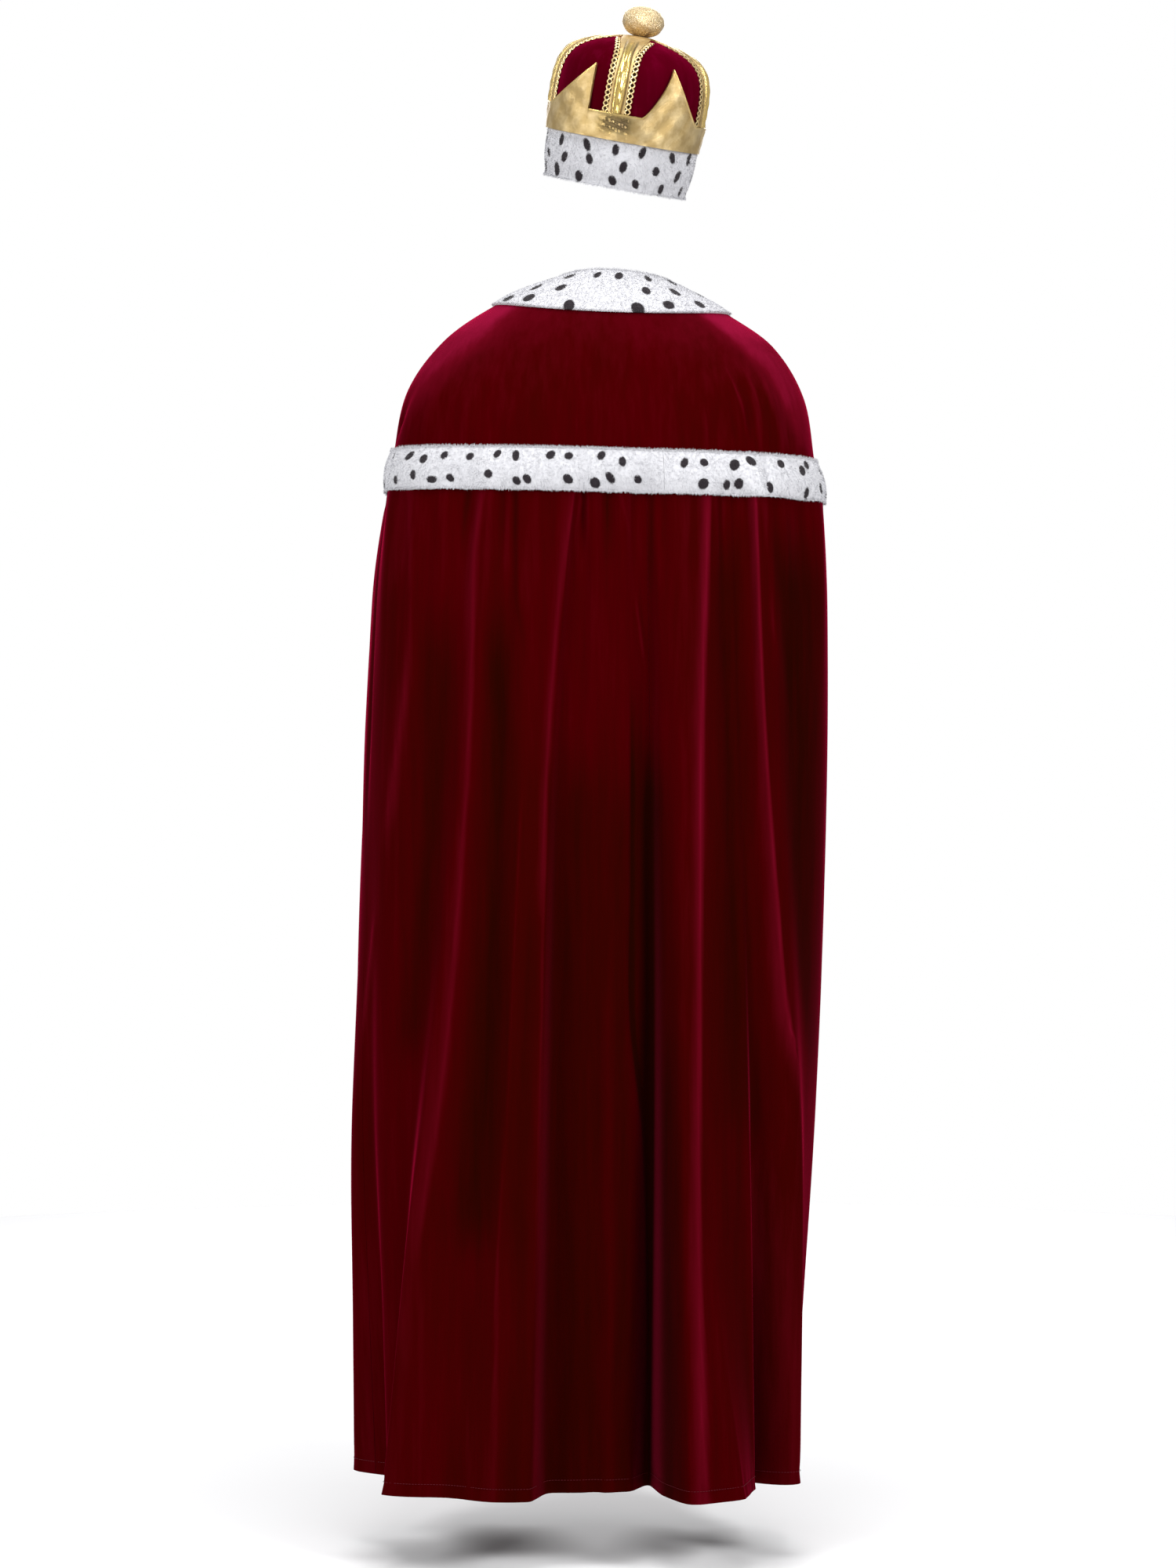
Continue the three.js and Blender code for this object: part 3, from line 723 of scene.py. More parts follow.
# Painted shade and painted dark reflections on the gold
GOLD_BROWN = (0.13, 0.09, 0.045)
LAME = GoldFinish(
    name="Gold lame",
    bright=(0.78, 0.6, 0.31),
    dull=(0.57, 0.4, 0.165),
    foil=(0.95, 0.68, 0.2),
    brown=GOLD_BROWN,
    roughness=0.4,
    foil_roughness=0.09,
    dent_scale=60.0,
    dent_depth=0.0018,
)
GLITTER = GoldFinish(
    name="Glitter gold",
    bright=(1.0, 0.84, 0.58),
    dull=(0.55, 0.39, 0.18),
    foil=(0.9, 0.7, 0.4),
    brown=GOLD_BROWN,
    roughness=0.33,
    foil_roughness=0.2,
    dent_scale=800.0,
    dent_depth=0.0026,
)
BRAIDING = GoldFinish(
    name="Gold braid",
    bright=(1.0, 0.82, 0.46),
    dull=(0.8, 0.6, 0.28),
    foil=(0.9, 0.7, 0.3),
    # Painted shadow of the braid's eyelets
    brown=(0.03, 0.014, 0.005),
    roughness=0.34,
    foil_roughness=0.2,
    dent_scale=300.0,
    dent_depth=0.0006,
)


@dataclass
class Materials:
    """All the finishes, built once."""

    velvet: bpy.types.Material
    crown_velvet: bpy.types.Material
    wrong_side: bpy.types.Material
    thread: bpy.types.Material
    plush: bpy.types.Material
    lame: bpy.types.Material
    glitter: bpy.types.Material
    braid: bpy.types.Material

    @classmethod
    def build(cls) -> "Materials":
        """Builds the two effect groups and every material on them.

        Returns:
            The finishes.
        """
        nap = nap_group()
        crinkle = crinkle_group()
        return cls(
            velvet=ROBE_VELVET.material(nap),
            crown_velvet=CROWN_VELVET.material(nap),
            wrong_side=WRONG_SIDE.material(),
            thread=THREAD.material(),
            plush=PLUSH.material(),
            lame=LAME.material(crinkle),
            glitter=GLITTER.material(crinkle),
            braid=BRAIDING.material(crinkle),
        )


@dataclass(frozen=True)
class Section:
    """A ring of the robe: its height at the centre back, and how far it reaches each way from the middle.

    side and fore say how much higher it runs over the shoulders and at the front. square is 2 on an ellipse
    and more on a squarer ring. tilt is how far it drops for each millimetre to the right, and part is half
    the gap between the front edges.
    """

    z: float
    left: float
    right: float
    back: float
    front: float
    side: float
    fore: float
    square: float
    tilt: float
    part: float


SECTIONS = (
    Section(NECK, 55, 79, 64, 62, -8, -66, 2.1, 0.02, 8),
    Section(-32, 91, 111, 86, 86, 0, -76, 2.1, 0.04, 9),
    Section(COLLAR_HEM, 132, 151, 107, 110, 12, -84, 2.2, 0.04, 11),
    Section(-108, 192, 204, 127, 136, 18, -70, 2.3, 0.02, 13),
    Section(-165, 236, 241, 140, 155, 14, -36, 2.4, 0.02, 16),
    Section(BAND_TOP, 253, 254, 147, 167, 0, 0, 2.5, 0.026, 20),
    Section(BAND_FOOT, 261, 262, 150, 173, 0, 0, 2.6, 0.026, 23),
    Section(-400, 276, 267, 152, 187, 0, 0, 2.7, 0.01, 28),
    Section(-700, 288, 262, 150, 193, 0, 0, 2.8, 0, 38),
    Section(-1000, 289, 249, 143, 188, 0, 0, 2.9, 0, 48),
    Section(-1250, 276, 234, 134, 180, 0, 0, 3, 0, 56),
    Section(HEM, 266, 224, 125, 174, 0, 0, 3, 0, 62),
)


@dataclass(frozen=True)
class Fold:
    """A large fold of the skirt: where it runs along the ring and how far out, at each of FOLD_HEIGHTS."""

    name: str
    at: tuple[float, ...]
    out: tuple[float, ...]
    left: float
    right: float


FOLD_HEIGHTS = (BAND_FOOT, -560.0, MIDDLE_RING, -1150.0, HEM)
MIDDLE = FOLD_HEIGHTS.index(MIDDLE_RING)
FOLDS = (
    Fold("left front edge", (640, 640, 640, 640, 632), (2, 5, 8, 10, 12), 40, 26),
    Fold("left front pleat", (560, 560, 566, 570, 566), (4, 14, 20, 26, 30), 30, 18),
    Fold("left front hollow", (515, 508, 505, 500, 496), (-3, -9, -14, -18, -20), 20, 26),
    Fold("left arm fold", (436, 432, 428, 426, 424), (4, 10, 14, 18, 20), 30, 34),
    Fold("left side flare", (352, 350, 350, 350, 348), (0, 2, 6, 22, 36), 38, 28),
    Fold("left side hollow", (296, 300, 304, 304, 304), (0, 0, -3, -8, -14), 18, 18),
    Fold("left corner", (238, 246, 262, 268, 272), (7, 7, 4, 0, 0), 26, 46),
    Fold("left roll", (141, 158, 186, 220, 234), (5, 11, 17, 30, 56), 16, 58),
    Fold("left ridge", (93, 98, 110, 122, 136), (5, 8, 12, 16, 22), 30, 26),
    Fold("centre lap", (36, 60, 71, 79, 86), (5, 14, 28, 40, 50), 44, 9),
    Fold("centre gather", (12, 14, 14, 12, 10), (5, 2, -2, -4, -4), 11, 11),
    Fold("centre gather right", (-22, -20, -18, -18, -18), (4, 2, 0, -2, -4), 10, 12),
    Fold("deep trough", (-50, -54, -58, -58, -55), (-5, -16, -26, -36, -46), 20, 7),
    Fold("right lap", (-88, -92, -91, -90, -95), (5, 16, 28, 46, 68), 20, 20),
    Fold("right ridge", (-124, -120, -118, -122, -150), (6, 12, 18, 26, 40), 16, 30),
    Fold("right pocket", (-152, -162, -174, -186, -188), (-3, -3, -8, -26, -56), 6, 22),
    Fold("right corner", (-178, -190, -214, -242, -232), (13, 14, 13, 12, 22), 28, 22),
    Fold("right side fold", (-330, -326, -322, -320, -318), (2, 5, 6, 7, 6), 34, 30),
    Fold("right arm fold", (-404, -400, -398, -396, -394), (-3, -8, -12, -14, -16), 24, 30),
    Fold("right front pleat", (-486, -484, -480, -474, -468), (4, 13, 20, 26, 32), 18, 34),
    Fold("right front hollow", (-540, -538, -534, -528, -520), (-2, -7, -11, -14, -16), 26, 22),
    Fold("right front edge", (-622, -620, -612, -604, -592), (2, 5, 8, 10, 12), 26, 38),
)


@dataclass(frozen=True)
class Gather:
    """A gather under the band: its column, how far out it stands, its width, and where it has faded."""

    at: float
    out: float
    width: float
    foot: float


GATHERS = (
    Gather(616, 3.5, 9, -520),
    Gather(592, -3.5, 9, -640),
    Gather(536, -3, 8, -480),
    Gather(486, 3.5, 9, -600),
    Gather(462, -4, 9, -470),
    Gather(402, -3.5, 9, -560),
    Gather(378, 4, 9, -680),
    Gather(352, -3.5, 9, -440),
    Gather(292, 4, 10, -560),
    Gather(264, -4, 9, -460),
    Gather(222, 4, 10, -760),
    Gather(198, -4, 8, -480),
    Gather(172, 3.5, 9, -640),
    Gather(150, -3.5, 8, -420),
    Gather(129, -3, 8, -520),
    Gather(90, -3.5, 8, -470),
    Gather(42, -3.5, 7, -380),
    Gather(29, 3, 7, -360),
    Gather(-2, -3.5, 7, -380),
    Gather(-36, -3, 8, -430),
    Gather(-74, -3, 7, -400),
    Gather(-105, -3.5, 7, -520),
    Gather(-142, -3.5, 8, -560),
    Gather(-197, -4, 8, -660),
    Gather(-236, 3.5, 9, -560),
    Gather(-262, -4, 9, -470),
    Gather(-292, 4, 10, -620),
    Gather(-352, -4, 9, -500),
    Gather(-378, 3.5, 9, -620),
    Gather(-432, 3.5, 9, -460),
    Gather(-456, -3.5, 9, -540),
    Gather(-508, -3, 8, -430),
    Gather(-560, 3.5, 9, -580),
    Gather(-586, -3.5, 9, -500),
)


# How a lane of painted highlight or painted shade fades at its top, short or long, and at its foot
LANE_EASE = 25
LONG_LANE_EASE = 60
LANE_FOOT = 40

# The rounded edge of a crisp crease, how fast it falls away, and how strong its lane of painted light is for
# each millimetre
CRISP_EDGE = 1.2
CRISP_FALL = 1.3
CREASE_PAINTED_LIGHT = 0.24


class Profile(Enum):
    """The shape of a crease across the cloth."""

    SOFT = "bell"
    CRISP = "tent"


@dataclass(frozen=True)
class Lane:
    """A lane of painted highlight, above 0, or painted shade, below 0, along a path of heights and columns.

    It reaches further to one side than to the other, and fades over an ease at its top, short on the yoke,
    and over a length at its foot if that is above the hem.
    """

    path: tuple[tuple[float, float], ...]
    lie: float
    left: float
    right: float

    def value(self, columns: np.ndarray, heights: np.ndarray) -> np.ndarray:
        """The lane's share of the painted light at each height and column: a bell across it, faded at its
        ends.

        Args:
            columns: columns of the cloth.
            heights: heights at the centre back.

        Returns:
            A row for each height.
        """
        top, foot = self.path[0][0], self.path[-1][0]
        ease = LANE_EASE if top > BAND_FOOT - 10 else LONG_LANE_EASE
        at = curve_through([h for h, _ in self.path], [c for _, c in self.path], heights)
        strength = smooth_step(heights, top + LANE_EASE, top + LANE_EASE - 2 * ease)
        if foot > HEM + 3 * LANE_FOOT:
            strength = strength * smooth_step(heights, foot - LANE_FOOT, foot + LANE_FOOT)
        away = columns[None] - at[:, None]
        away = away / np.where(away > 0, self.left, self.right)
        return self.lie * strength[:, None] * np.exp(-(away**2))


@dataclass(frozen=True)
class Crease:
    """A small crease: its column at heights, from the top down, and how far it stands out at its fullest.

    width is how far it reaches to each side, and ends says over how much of its length it fades at its top
    and its foot.
    """

    path: tuple[tuple[float, float], ...]
    out: float
    width: float
    profile: Profile = Profile.SOFT
    ends: tuple[float, float] = (0.1, 0.4)

    def stand(self, columns: np.ndarray, heights: np.ndarray) -> np.ndarray:
        """How far the crease stands out at each height and column.

        A soft crease is a bell curve. A crisp one falls in a straight line from its edge, which is rounded
        over a millimetre, and dies away like a bell further out.

        Args:
            columns: columns of the cloth.
            heights: heights at the centre back.

        Returns:
            A row for each height, in millimetres.
        """
        top, foot = self.path[0][0], self.path[-1][0]
        at = curve_through([h for h, _ in self.path], [c for _, c in self.path], heights)
        down = (top - heights) / (top - foot)
        strength = smooth_step(down, 0, self.ends[0])
        if self.ends[1]:
            strength = strength * smooth_step(down, 1, 1 - self.ends[1])
        strength = np.where((down >= 0) & (down <= 1), strength, 0.0)
        away = (columns[None] - at[:, None]) / self.width
        if self.profile is Profile.SOFT:
            shape = np.exp(-(away**2))
        else:
            edge = CRISP_EDGE / self.width
            shape = np.exp(-CRISP_FALL * (np.sqrt(away**2 + edge**2) - edge))
        return self.out * strength[:, None] * shape

    def lane(self) -> Lane:
        """The lane of painted highlight on a ridge, or painted shade in a hollow, as strong as the crease is
        deep.
        """
        return Lane(self.path, CREASE_PAINTED_LIGHT * self.out, self.width, 0.6 * self.width)


# Creases of the skirt's back. Ridges catch the light in a crisp line.
SKIRT_CREASES = (
    Crease(((-262, 262), (-418, 252), (-546, 258), (-690, 276)), 3.0, 9, Profile.CRISP, (0.05, 0.3)),
    Crease(((-770, 286), (-866, 310), (-940, 326)), 2.4, 8, Profile.CRISP, (0.2, 0.3)),
    Crease(((-262, 182), (-346, 191), (-466, 186), (-754, 176), (-974, 173), (-1270, 180)),
           3.2, 10, Profile.CRISP, (0.05, 0.2)),
    Crease(((-590, 105), (-934, 103), (-1162, 107), (-1430, 100)), 2.2, 7, Profile.CRISP, (0.1, 0.1)),
    Crease(((-262, 66), (-354, 73), (-546, 75), (-890, 70), (-1440, 66)),
           3.2, 7, Profile.CRISP, (0.05, 0.6)),
    Crease(((-262, -116), (-546, -110), (-1026, -106), (-1440, -97)), 3.6, 7, Profile.CRISP, (0.05, 0.02)),
    Crease(((-262, -209), (-434, -207), (-878, -210), (-980, -226)), 3.6, 7, Profile.CRISP, (0.05, 0.1)),
    Crease(((-262, -228), (-420, -236), (-560, -242)), -2.6, 7),
    Crease(((-420, -150), (-800, -154), (-1050, -160)), -3.0, 10),
    Crease(((-480, -34), (-700, -33), (-894, -33), (-1042, -48), (-1440, -60)), -2.4, 5, ends=(0.2, 0.1)),
    Crease(((-396, -38), (-480, -52)), 1.6, 4, ends=(0.3, 0.3)),
    Crease(((-700, 20), (-1000, 24), (-1400, 28)), 1.6, 12),
    Crease(((-480, 142), (-754, 134), (-1100, 131)), -2.8, 12),
    Crease(((-400, 226), (-640, 220), (-900, 228)), -2.4, 12),
    Crease(((-850, -4), (-1100, -6), (-1440, -8)), 1.8, 9),
)
# Soft folds of the yoke, which hang from the shoulders
YOKE_CREASES = (
    Crease(((-120, -204), (-182, -212), (-226, -217)), 4.4, 7, Profile.CRISP, (0.6, 0.0)),
    Crease(((-130, -220), (-226, -221)), -3.6, 6, ends=(0.7, 0.0)),
    Crease(((-112, -234), (-160, -229), (-226, -226)), 4.2, 7, Profile.CRISP, (0.6, 0.0)),
    Crease(((-104, -246), (-154, -245), (-226, -250)), 4.6, 8, Profile.CRISP, (0.6, 0.0)),
    Crease(((-130, -256), (-226, -264)), -4.4, 7, ends=(0.7, 0.0)),
    Crease(((-130, -262), (-186, -267), (-226, -284)), 3.6, 8, Profile.CRISP, (0.6, 0.0)),
    Crease(((-160, -188), (-226, -196)), -2.6, 7, ends=(0.8, 0.0)),
    Crease(((-150, -120), (-226, -124)), 1.8, 7, ends=(0.8, 0.0)),
    Crease(((-140, -64), (-226, -60)), -1.4, 8, ends=(0.8, 0.0)),
    Crease(((-130, -22), (-226, -20)), 1.6, 7, ends=(0.8, 0.0)),
    Crease(((-160, 28), (-226, 30)), -1.4, 7, ends=(0.8, 0.0)),
    Crease(((-150, 66), (-226, 68)), 1.6, 7, ends=(0.8, 0.0)),
    Crease(((-176, 96), (-226, 100)), -1.4, 7, ends=(0.8, 0.0)),
    Crease(((-160, 146), (-226, 152)), 2.0, 8, ends=(0.8, 0.0)),
    Crease(((-150, 180), (-226, 186)), -1.8, 7, ends=(0.8, 0.0)),
    Crease(((-140, 210), (-226, 214)), 2.4, 8, ends=(0.8, 0.0)),
    Crease(((-120, 250), (-226, 262)), 3.4, 9, ends=(0.8, 0.0)),
    Crease(((-140, 288), (-190, 306), (-226, 330)), -5.0, 8, ends=(0.8, 0.0)),
)
BAND_DENTS = ((-83.0, 0.4, 5.0), (-224.0, 0.65, 4.0), (197.0, 0.3, 9.0), (300.0, 0.6, 4.0))


# Painted light: highlights on the two shoulders, then on the skirt's back painted highlights on ridges
# and painted shade in the hollows between them
LANES = (
    Lane(((-16, 262), (-76, 262), (-92, 254), (-112, 262), (-140, 284), (-176, 292)), 1.1, 70, 30),
    Lane(((-50, -242), (-84, -246), (-104, -250), (-132, -262), (-168, -266), (-205, -268)), 1.1, 14, 60),
    Lane(((-260, 258), (-346, 267), (-390, 271)), 0.3, 13, 11),
    Lane(((-418, 251), (-474, 251), (-546, 258), (-630, 266), (-678, 275)), 0.51, 8, 8.8),
    Lane(((-778, 287), (-866, 310), (-920, 322)), 0.36, 7.2, 7.2),
    Lane(((-260, 182), (-346, 191), (-466, 186), (-754, 176), (-974, 173), (-1150, 179)), 0.45, 10, 5.6),
    Lane(((-260, 66), (-354, 73), (-546, 75), (-754, 74)), 0.39, 7.2, 2.8),
    Lane(((-754, 74), (-890, 70), (-1162, 69), (-1374, 67)), 0.18, 2.4, 2),
    Lane(((-594, 105), (-934, 103), (-1162, 107), (-1370, 100)), 0.15, 2.4, 2.4),
    Lane(((-760, 88), (-1000, 86), (-1400, 84)), -0.3, 9, 9),
    Lane(((-396, -38), (-480, -52)), 0.24, 2.4, 2.4),
    Lane(((-260, -116), (-390, -114), (-546, -110), (-798, -109), (-1026, -106), (-1400, -97)),
         0.85, 8, 2.6),
    Lane(((-300, -118), (-520, -114), (-800, -112)), 0.15, 18, 6.4),
    Lane(((-900, -78), (-1150, -80), (-1400, -84)), -0.35, 12, 12),
    Lane(((-260, -209), (-434, -207), (-730, -208), (-878, -209), (-960, -222)), 0.9, 11, 2.6),
    Lane(((-260, -218), (-338, -222), (-414, -223), (-466, -228)), 0.36, 3.2, 1.6),
    Lane(((-1030, -172), (-1174, -177), (-1400, -180)), 0.45, 10, 10),
    Lane(((-1090, -198), (-1246, -204), (-1400, -209)), 0.21, 11, 11),
    Lane(((-1120, 306), (-1230, 318), (-1400, 322)), 0.18, 13, 13),
    Lane(((-1080, 198), (-1200, 184), (-1290, 178)), 0.18, 14, 9.6),
    Lane(((-262, 45), (-320, 57)), 0.3, 2.4, 2.4),
    Lane(((-262, -8), (-325, -30)), 0.21, 2.4, 2.4),
    Lane(((-262, -28), (-310, -30)), 0.21, 2.4, 2.4),
    Lane(((-262, -100), (-330, -96)), 0.21, 4, 4),
    Lane(((-262, -151), (-340, -149)), 0.18, 4.8, 4.8),
    Lane(((-500, -32), (-754, -32), (-894, -32), (-1042, -48), (-1174, -55), (-1400, -60)), -0.7, 2, 14),
    Lane(((-560, -58), (-758, -58), (-1034, -60), (-1400, -63)), -1.0, 14, 18),
    Lane(((-600, -22), (-1000, -24), (-1400, -26)), -0.45, 14, 10),
    Lane(((-1000, -150), (-1200, -148), (-1400, -146)), -0.4, 22, 18),
    Lane(((-300, -236), (-434, -247), (-806, -246), (-960, -280)), -0.9, 18, 70),
    Lane(((-302, -156), (-662, -158), (-846, -153), (-1020, -157)), -0.6, 30, 32),
    Lane(((-560, 34), (-710, 30), (-802, 37), (-1400, 38)), -0.55, 32, 48),
    Lane(((-400, 148), (-574, 140), (-754, 132), (-982, 131), (-1150, 131)), -0.75, 24, 26),
    Lane(((-400, 226), (-526, 222), (-666, 219), (-930, 226)), -0.6, 22, 22),
    Lane(((-262, 200), (-330, 204)), -0.5, 3, 3),
    Lane(((-262, 125), (-390, 120), (-450, 109)), -0.4, 5, 5),
    Lane(((-262, 1), (-330, -3)), -0.4, 3, 3),
    Lane(((-262, -64), (-380, -60)), -0.4, 4, 4),
)


# The least and the most of each measure of a seeded crease
CREASE_TOP = -262.0
SEEDED_DRIFT = 10
SEEDED_LENGTH = (160, 1100)
SEEDED_OUT = (1.8, 3.2)
SEEDED_WIDTH = (6, 11)


def seeded_creases(seed: int, start: float, end: float, step: float) -> tuple[Crease, ...]:
    """Creases like the charted ones for a side that the photograph doesn't show.

    Each is a step or so past the last, with its own length, depth and width, and they turn from ridge to
    trough and back.

    Args:
        seed: makes the same creases each time.
        start: the first column.
        end: the last column.
        step: the usual distance between them.

    Returns:
        The creases.
    """
    chance = np.random.default_rng(seed)
    count = int(abs(end - start) / step)
    at = np.linspace(start, end, count) + chance.uniform(-0.3, 0.3, count) * step
    drift = chance.uniform(-SEEDED_DRIFT, SEEDED_DRIFT, count)
    foot = BAND_FOOT - chance.uniform(*SEEDED_LENGTH, count)
    ridge = np.arange(count) % 2 == 1
    out = chance.uniform(*SEEDED_OUT, count) * np.where(ridge, 1, -1)
    width = chance.uniform(*SEEDED_WIDTH, count)
    return tuple(
        Crease(
            ((CREASE_TOP, float(a)), (float(f), float(a + d))),
            float(o),
            float(w),
            Profile.CRISP if r else Profile.SOFT,
        )
        for a, d, f, o, w, r in zip(at, drift, foot, out, width, ridge)
    )


RING_STEPS = 240
RING_NAMES = ("left", "right", "back", "front", "side", "fore", "square", "tilt", "part")


@dataclass(frozen=True)
class Rings:
    """Level rings of the robe: for each side, points from the centre back and how far round they lie."""

    rows: dict[str, np.ndarray]
    girth: dict[Side, np.ndarray]
    x: dict[Side, np.ndarray]
    y: np.ndarray

    @classmethod
    def at(cls, heights: np.ndarray) -> "Rings":
        """Rings at some heights: ellipses with squared corners, sin and cos raised to 2 over square.

        Args:
            heights: heights at the centre back.

        Returns:
            The rings.
        """
        keys = [section.z for section in SECTIONS]
        rows = {}
        for name in RING_NAMES:
            rows[name] = curve_through(keys, [getattr(section, name) for section in SECTIONS], heights)
        turn = (np.pi * np.arange(RING_STEPS + 1) / RING_STEPS)[None]
        power = 2 / rows["square"][:, None]
        cosine = np.cos(turn)
        reach = np.where(cosine > 0, rows["back"][:, None], rows["front"][:, None])
        y = np.sign(cosine) * reach * np.abs(cosine) ** power
        x, girth = {}, {}
        for side, sign in ((Side.LEFT, 1.0), (Side.RIGHT, -1.0)):
            away = rows[side.name.lower()][:, None]
            x[side] = sign * away * np.abs(np.sin(turn)) ** power
            steps = np.hypot(np.diff(x[side], axis=1), np.diff(y, axis=1))
            girth[side] = np.concatenate([np.zeros((len(heights), 1)), np.cumsum(steps, axis=1)], axis=1)
        return cls(rows, girth, x, y)

    def edge(self, side: Side) -> np.ndarray:
        """Half girth of each ring on one side, up to the front edge."""
        return self.girth[side][:, -1] - self.rows["part"]


class RobeForm:
    """The robe's one bell-shaped surface, in columns of the cloth and heights at the centre back."""

    # Painted highlight on cloth that slopes up towards the lamps: share, and the upward part of the normal
    # from and to
    SLOPES = ((0.55, 0.1, 0.75), (0.9, 0.6, 0.9))
    # The bend at which a small crease or a large fold gives full painted highlight or painted shade
    SMALL_BEND = 1.6
    LARGE_BEND = 7.0
    # Seeded creases of the hidden sides: how far they keep from the seam and from the edge, and their step
    SEAM_MARGIN = 10
    EDGE_MARGIN = 24
    SEEDED_STEP = 34.0

    def __init__(self) -> None:
        """Pins the columns at the middle ring and gathers up all the small creases."""
        middle = Rings.at(np.array([MIDDLE_RING]))
        self.left_edge = float(middle.edge(Side.LEFT)[0])
        self.right_edge = -float(middle.edge(Side.RIGHT)[0])
        self.folds = FOLDS[::-1]
        pinned = [fold.at[MIDDLE] for fold in self.folds]
        self.pinned_columns = np.array([self.right_edge, *pinned, self.left_edge])
        seam, step = SIDE_SEAM + self.SEAM_MARGIN, self.SEEDED_STEP
        hidden = seeded_creases(3, seam, self.left_edge - self.EDGE_MARGIN, step)
        hidden += seeded_creases(4, self.right_edge + self.EDGE_MARGIN, -seam, step)
        self.creases = SKIRT_CREASES + hidden
        self.lanes = LANES + tuple(crease.lane() for crease in hidden)

    def pinned(self, heights: np.ndarray) -> np.ndarray:
        """Where each fold and both front edges lie along the ring at each height, a row for each height.

        Args:
            heights: heights at the centre back.

        Returns:
            The places, from the right edge to the left.
        """
        levels = np.minimum(heights, BAND_FOOT)
        here, below = Rings.at(heights), Rings.at(levels)
        shrink = {side: here.edge(side) / below.edge(side) for side in Side}
        places = [-here.edge(Side.RIGHT)]
        for fold in self.folds:
            at = curve_through(FOLD_HEIGHTS, fold.at, levels)
            places.append(at * np.where(at > 0, shrink[Side.LEFT], shrink[Side.RIGHT]))
        places.append(here.edge(Side.LEFT))
        return np.stack(places, -1)

    def base(self, columns: np.ndarray, heights: np.ndarray) -> tuple[np.ndarray, np.ndarray]:
        """Points of the base rings and the level direction out of them, for each height and column.

        Args:
            columns: columns of the cloth.
            heights: heights at the centre back.

        Returns:
            Points and directions, each of heights, columns and 3 coordinates.
        """
        rings, pinned = Rings.at(heights), self.pinned(heights)
        shape = (len(heights), len(columns))
        x, y, ahead, aside, toward = (np.empty(shape) for _ in range(5))
        for j in range(len(heights)):
            girth = straight_between(self.pinned_columns, pinned[j], columns)
            toward[j] = np.where(girth < 0, -1.0, 1.0)
            for side in Side:
                here = (girth >= 0) == (side is Side.LEFT)
                away = np.abs(girth[here])
                keys = rings.girth[side][j]
                for along, at, run in ((rings.x[side][j], x, ahead), (rings.y[j], y, aside)):
                    at[j, here] = straight_between(keys, along, away)
                    after, before = (straight_between(keys, along, away + step) for step in (2, -2))
                    run[j, here] = after - before
        row = {name: values[:, None] for name, values in rings.rows.items()}
        behind = y >= 0
        share = (y / np.where(behind, row["back"], row["front"])) ** 2
        rise = row["side"] + (np.where(behind, 0, row["fore"]) - row["side"]) * share
        points = np.stack([x, y, heights[:, None] + rise + row["tilt"] * x], -1)
        out = unit(np.stack([-aside * toward, ahead * toward, np.zeros_like(x)], -1))
        return points, out

    def fold_out(self, columns: np.ndarray, heights: np.ndarray) -> np.ndarray:
        """How far the large folds stand out: a bell curve each, wider to one side, summed.

        Args:
            columns: columns of the cloth.
            heights: heights at the centre back.

        Returns:
            A row for each height, in millimetres.
        """
        levels = np.minimum(heights, BAND_FOOT)
        grown = smooth_step(-heights, -GATHER_START, -BAND_FOOT)
        total = np.zeros((len(heights), len(columns)))
        for fold in FOLDS:
            away = columns - fold.at[MIDDLE]
            bell = np.exp(-((away / np.where(away > 0, fold.left, fold.right)) ** 2))
            total += (grown * curve_through(FOLD_HEIGHTS, fold.out, levels))[:, None] * bell[None]
        return total

    def gather_out(self, columns: np.ndarray, heights: np.ndarray) -> np.ndarray:
        """How far the gathers stand out: a bell curve each, grown under the band and faded by its foot.

        Args:
            columns: columns of the cloth.
            heights: heights at the centre back.

        Returns:
            A row for each height, in millimetres.
        """
        grown = smooth_step(-heights, -YOKE_SEAM, -GATHER_FULL)
        total = np.zeros((len(heights), len(columns)))
        for gather in GATHERS:
            left = grown * (1 - smooth_step(-heights, -GATHER_FULL, -gather.foot))
            bell = np.exp(-(((columns - gather.at) / gather.width) ** 2))
            total += gather.out * left[:, None] * bell[None]
        return total

    def crease_out(self, columns: np.ndarray, heights: np.ndarray) -> np.ndarray:
        """How far the small creases stand out, summed. The yoke's fade away under the band.

        Args:
            columns: columns of the cloth.
            heights: heights at the centre back.

        Returns:
            A row for each height, in millimetres.
        """
        total = np.zeros((len(heights), len(columns)))
        for crease in self.creases:
            total += crease.stand(columns, heights)
        under = 0.3 * smooth_step(heights, YOKE_SEAM - 20, BAND_TOP)
        fade = under + 0.7 * smooth_step(heights, BAND_TOP, BAND_TOP + 26)
        for crease in YOKE_CREASES:
            total += fade[:, None] * crease.stand(columns, np.maximum(heights, BAND_TOP))
        return total

    def nap(self, columns: np.ndarray, heights: np.ndarray, out: np.ndarray) -> np.ndarray:
        """Painted light on the velvet: painted highlight up to 1, painted shade down to -1.

        It is painted highlight on ridges and painted shade in hollows, by how much the cloth bends over 3 mm
        in a small crease and over 9 mm in a large fold, and painted highlight where it slopes up to the
        light. The lanes come on top.

        Args:
            columns: columns of the cloth.
            heights: heights at the centre back.
            out: unit normals there.

        Returns:
            The painted light value at each height and column.
        """

        def bend(stand: Callable[[np.ndarray, np.ndarray], np.ndarray], step: float) -> np.ndarray:
            """How far the middle of three places stands out over the two beside it."""
            beside = stand(columns + step, heights) + stand(columns - step, heights)
            return 2 * stand(columns, heights) - beside

